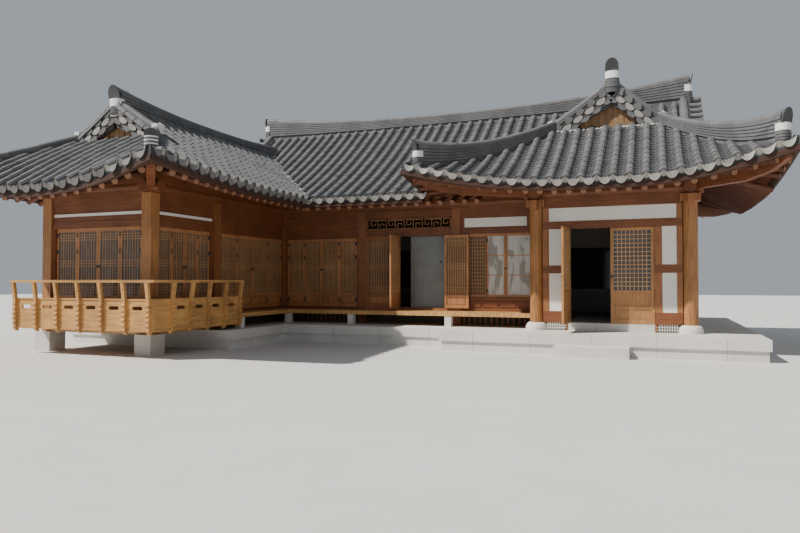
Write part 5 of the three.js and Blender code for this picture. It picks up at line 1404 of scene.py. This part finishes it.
jambs = Piece("raised_outer_jambs", [timber_z, timber_x], "timber", place=outer_west)
jambs.boxes(-0.066, -0.0205, [(2.78, 2.842, 0.79, 2.505), (4.428, 4.49, 0.79, 2.505)])
jambs.boxes(-0.066, -0.0205, [(2.842, 4.428, 0.79, 0.797), (2.842, 4.428, 2.493, 2.505)], 1)
jambs.make()

WINDOW_HALF = 0.5
WINDOW_LOW, WINDOW_HIGH = 1.25, 2.35
WINDOW_FRAME = 0.06
MEETING = 0.03
half = WINDOW_HALF - WINDOW_FRAME
low, high = WINDOW_LOW + WINDOW_FRAME, WINDOW_HIGH - WINDOW_FRAME
for name, place, centres in [
    ("west", outer_west, west_windows),
    ("east", quarter_turn(EAST), east_windows),
    ("back", back_side, back_windows),
]:
    piece = Piece(name + "_window_lattice", leaf_materials, "lattice", place=place)
    for x in centres:
        outer = (x - WINDOW_HALF, x + WINDOW_HALF)
        piece.frame(*outer, -0.075, -0.005, WINDOW_LOW, WINDOW_HIGH, WINDOW_FRAME, WOOD)
        piece.box(x - MEETING, x + MEETING, -0.055, -0.01, low, high, WOOD)
        for a, b in ((x - half, x - MEETING), (x + MEETING, x + half)):
            piece.bars(a, b, -0.045, -0.02, low, high, 6, 12, 0.012, BAR)
        piece.box(x - half - 0.01, x + half + 0.01, -0.02, -0.01, low - 0.01, high + 0.01, PAPER_PAINTED_SHADE)
    piece.make()

handle = Piece("screen_handle", leaf_materials, "lattice")
ring_handle(handle, 0.67, 0.376, 1.89)
handle.make()

fret = Piece("transom_fret", [bar_wood], "lattice")
key_fret(fret, -1.16, 0.96, 2.71, 2.93, 0.2, 0.225)
fret.make()

vents = Piece("vent_bars", [granite_plain, timber_z], "stone")
for x0, x1 in VENTS:
    vents.bars(x0, x1, -0.685, -0.673, *LOW_VENTS, 9, 3, 0.016)
vents.boxes(0.17, 0.186, [(x, x + 0.03, *UNDER_PORCH) for x in np.arange(-3.4, 3.0, 0.13)], 1)
vents.make()

PURLIN_HEIGHT = 3.27
PURLIN_RADIUS = 0.118
BEYOND = 0.25
purlins = Piece("purlins", [timber_x], "timber")
for a, b in [
    ((COURT, MAIN_FRONT), (ENTRANCE, MAIN_FRONT)),
    ((WEST - BEYOND, LEFT_FRONT), (COURT + BEYOND, LEFT_FRONT)),
    ((COURT, LEFT_FRONT - BEYOND), (COURT, MAIN_FRONT)),
    ((WEST, LEFT_FRONT - BEYOND), (WEST, BACK + BEYOND)),
    ((WEST - BEYOND, BACK), (EAST + BEYOND, BACK)),
    ((EAST, RIGHT_FRONT - BEYOND), (EAST, BACK + BEYOND)),
    ((ENTRANCE - BEYOND, RIGHT_FRONT), (EAST + BEYOND, RIGHT_FRONT)),
    ((ENTRANCE, RIGHT_FRONT - BEYOND), (ENTRANCE, MAIN_FRONT)),
]:
    purlins.tube((*a, PURLIN_HEIGHT), (*b, PURLIN_HEIGHT), PURLIN_RADIUS, 14)
purlins.make()

capitals = Piece("column_capitals", [timber_z], "timber")
for x in (ENTRANCE, EAST):
    capitals.box(x - 0.19, x + 0.19, RIGHT_FRONT - 0.19, RIGHT_FRONT + 0.19, 3.0, 3.14)
    capitals.box(x - 0.06, x + 0.06, RIGHT_FRONT - 0.36, RIGHT_FRONT - 0.1, 2.93, 3.12)
capitals.make()


def railing_details(name, place, posts, x0, x1):
    """Scalloped fronts of the leaning posts and a moulding along the top of the panel."""
    piece = Piece(name, [railing_wood_y], "timber", place=place)
    for x in posts:
        for number, out in enumerate((0.05, 0.066, 0.072, 0.07, 0.068, 0.07)):
            z = 0.53 + 0.09 * number
            piece.tube((x - 0.037, -out, z), (x + 0.037, -out, z), 0.034, 10)
    piece.box(x0, x1, -0.052, -0.002, 1.075, 1.1)
    piece.box(x0, x1, -0.044, -0.03, 0.5, 0.54)
    piece.make()


FRONT_POSTS = np.linspace(-6.36, -3.02, 7)
SIDE_POSTS = np.linspace(-4.82, -2.7, 5)
railing_details("balcony_front_details", wall_at(-5.28), FRONT_POSTS, -6.4, -2.95)
railing_details("balcony_side_details", quarter_turn(-2.98), SIDE_POSTS, -5.3, -2.67)


# Materials of the solid pieces: the first match by the start of the node's name

coverings = [
    (granite, ["stone_platform"]),
    (granite_plain, ["door_step", "pier_", "right_wing_floor"]),
    (room_boards, ["main_floor"]),
    (porch_boards, ["raised_floor", "porch_floor"]),
    (railing_wood, ["balcony_front"]),
    (railing_wood_y, ["balcony_side"]),
    (timber_x, ["beams_", "door_head", "porch_wall_head", "window_wall"]),
    (timber_x, ["raised_front_wall", "main_court_wall"]),
    (timber_y, ["raised_court_wall", "left_wing_court_wall"]),
    (timber_z, ["porch_wall_", "door_panel"]),
    (glass_grey, ["inner_screen"]),
    (glass_dark, ["east_glass", "west_glass", "back_glass"]),
    (plaster, ["return_wall", "east_wall", "west_wall", "back_wall"]),
    (shell, ["roof_"]),
    (column_wood, ["column_raised", "column_entrance"]),
    (column_red, ["column_"]),
    (leaf_wood, ["door_leaf"]),
    (door_wood, ["raised_", "main_folding", "left_wing_folding", "porch_"]),
]
for node_name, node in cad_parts.items():
    for material, starts in coverings:
        if node_name.startswith(tuple(starts)):
            node.data.materials.clear()
            node.data.materials.append(material)
            break


# Camera, floor and light

camera_data = bpy.data.cameras.new("view")
camera_data.lens = 29.28
camera_data.sensor_width = 36.0
camera = show("view", camera_data)
camera.location = (5.45, -14.6, 1.42)
camera.rotation_euler = (math.radians(90 + 1.318), 0.0, math.radians(21.32))
bpy.context.scene.camera = camera

floor_mesh = bpy.data.meshes.new("floor")
floor_mesh.from_pydata([(-60, -60, 0), (60, -60, 0), (60, 60, 0), (-60, 60, 0)], [], [(0, 1, 2, 3)])
floor_mesh.materials.append(mineral("studio_floor", (0.62, 0.61, 0.59), 3.0, 0.02, 0.95, 0.0, (0.98, 1.02)))
floor = show("floor", floor_mesh)

sun_data = bpy.data.lights.new("key", "SUN")
sun_data.energy = 6.8
sun_data.angle = math.radians(1.0)
sun_data.color = (1.0, 0.95, 0.88)
sun = show("key", sun_data)
bearing = math.radians(54)
height_angle = math.radians(47.6)
level = math.cos(height_angle)
towards = Vector((-math.sin(bearing) * level, -math.cos(bearing) * level, math.sin(height_angle)))
sun.rotation_euler = towards.to_track_quat("Z", "Y").to_euler()

world = bpy.data.worlds.new("studio")
world.use_nodes = True
background = world.node_tree.nodes["Background"]
background.inputs["Color"].default_value = (0.8, 0.87, 0.95, 1.0)
background.inputs["Strength"].default_value = 0.45
bpy.context.scene.world = world
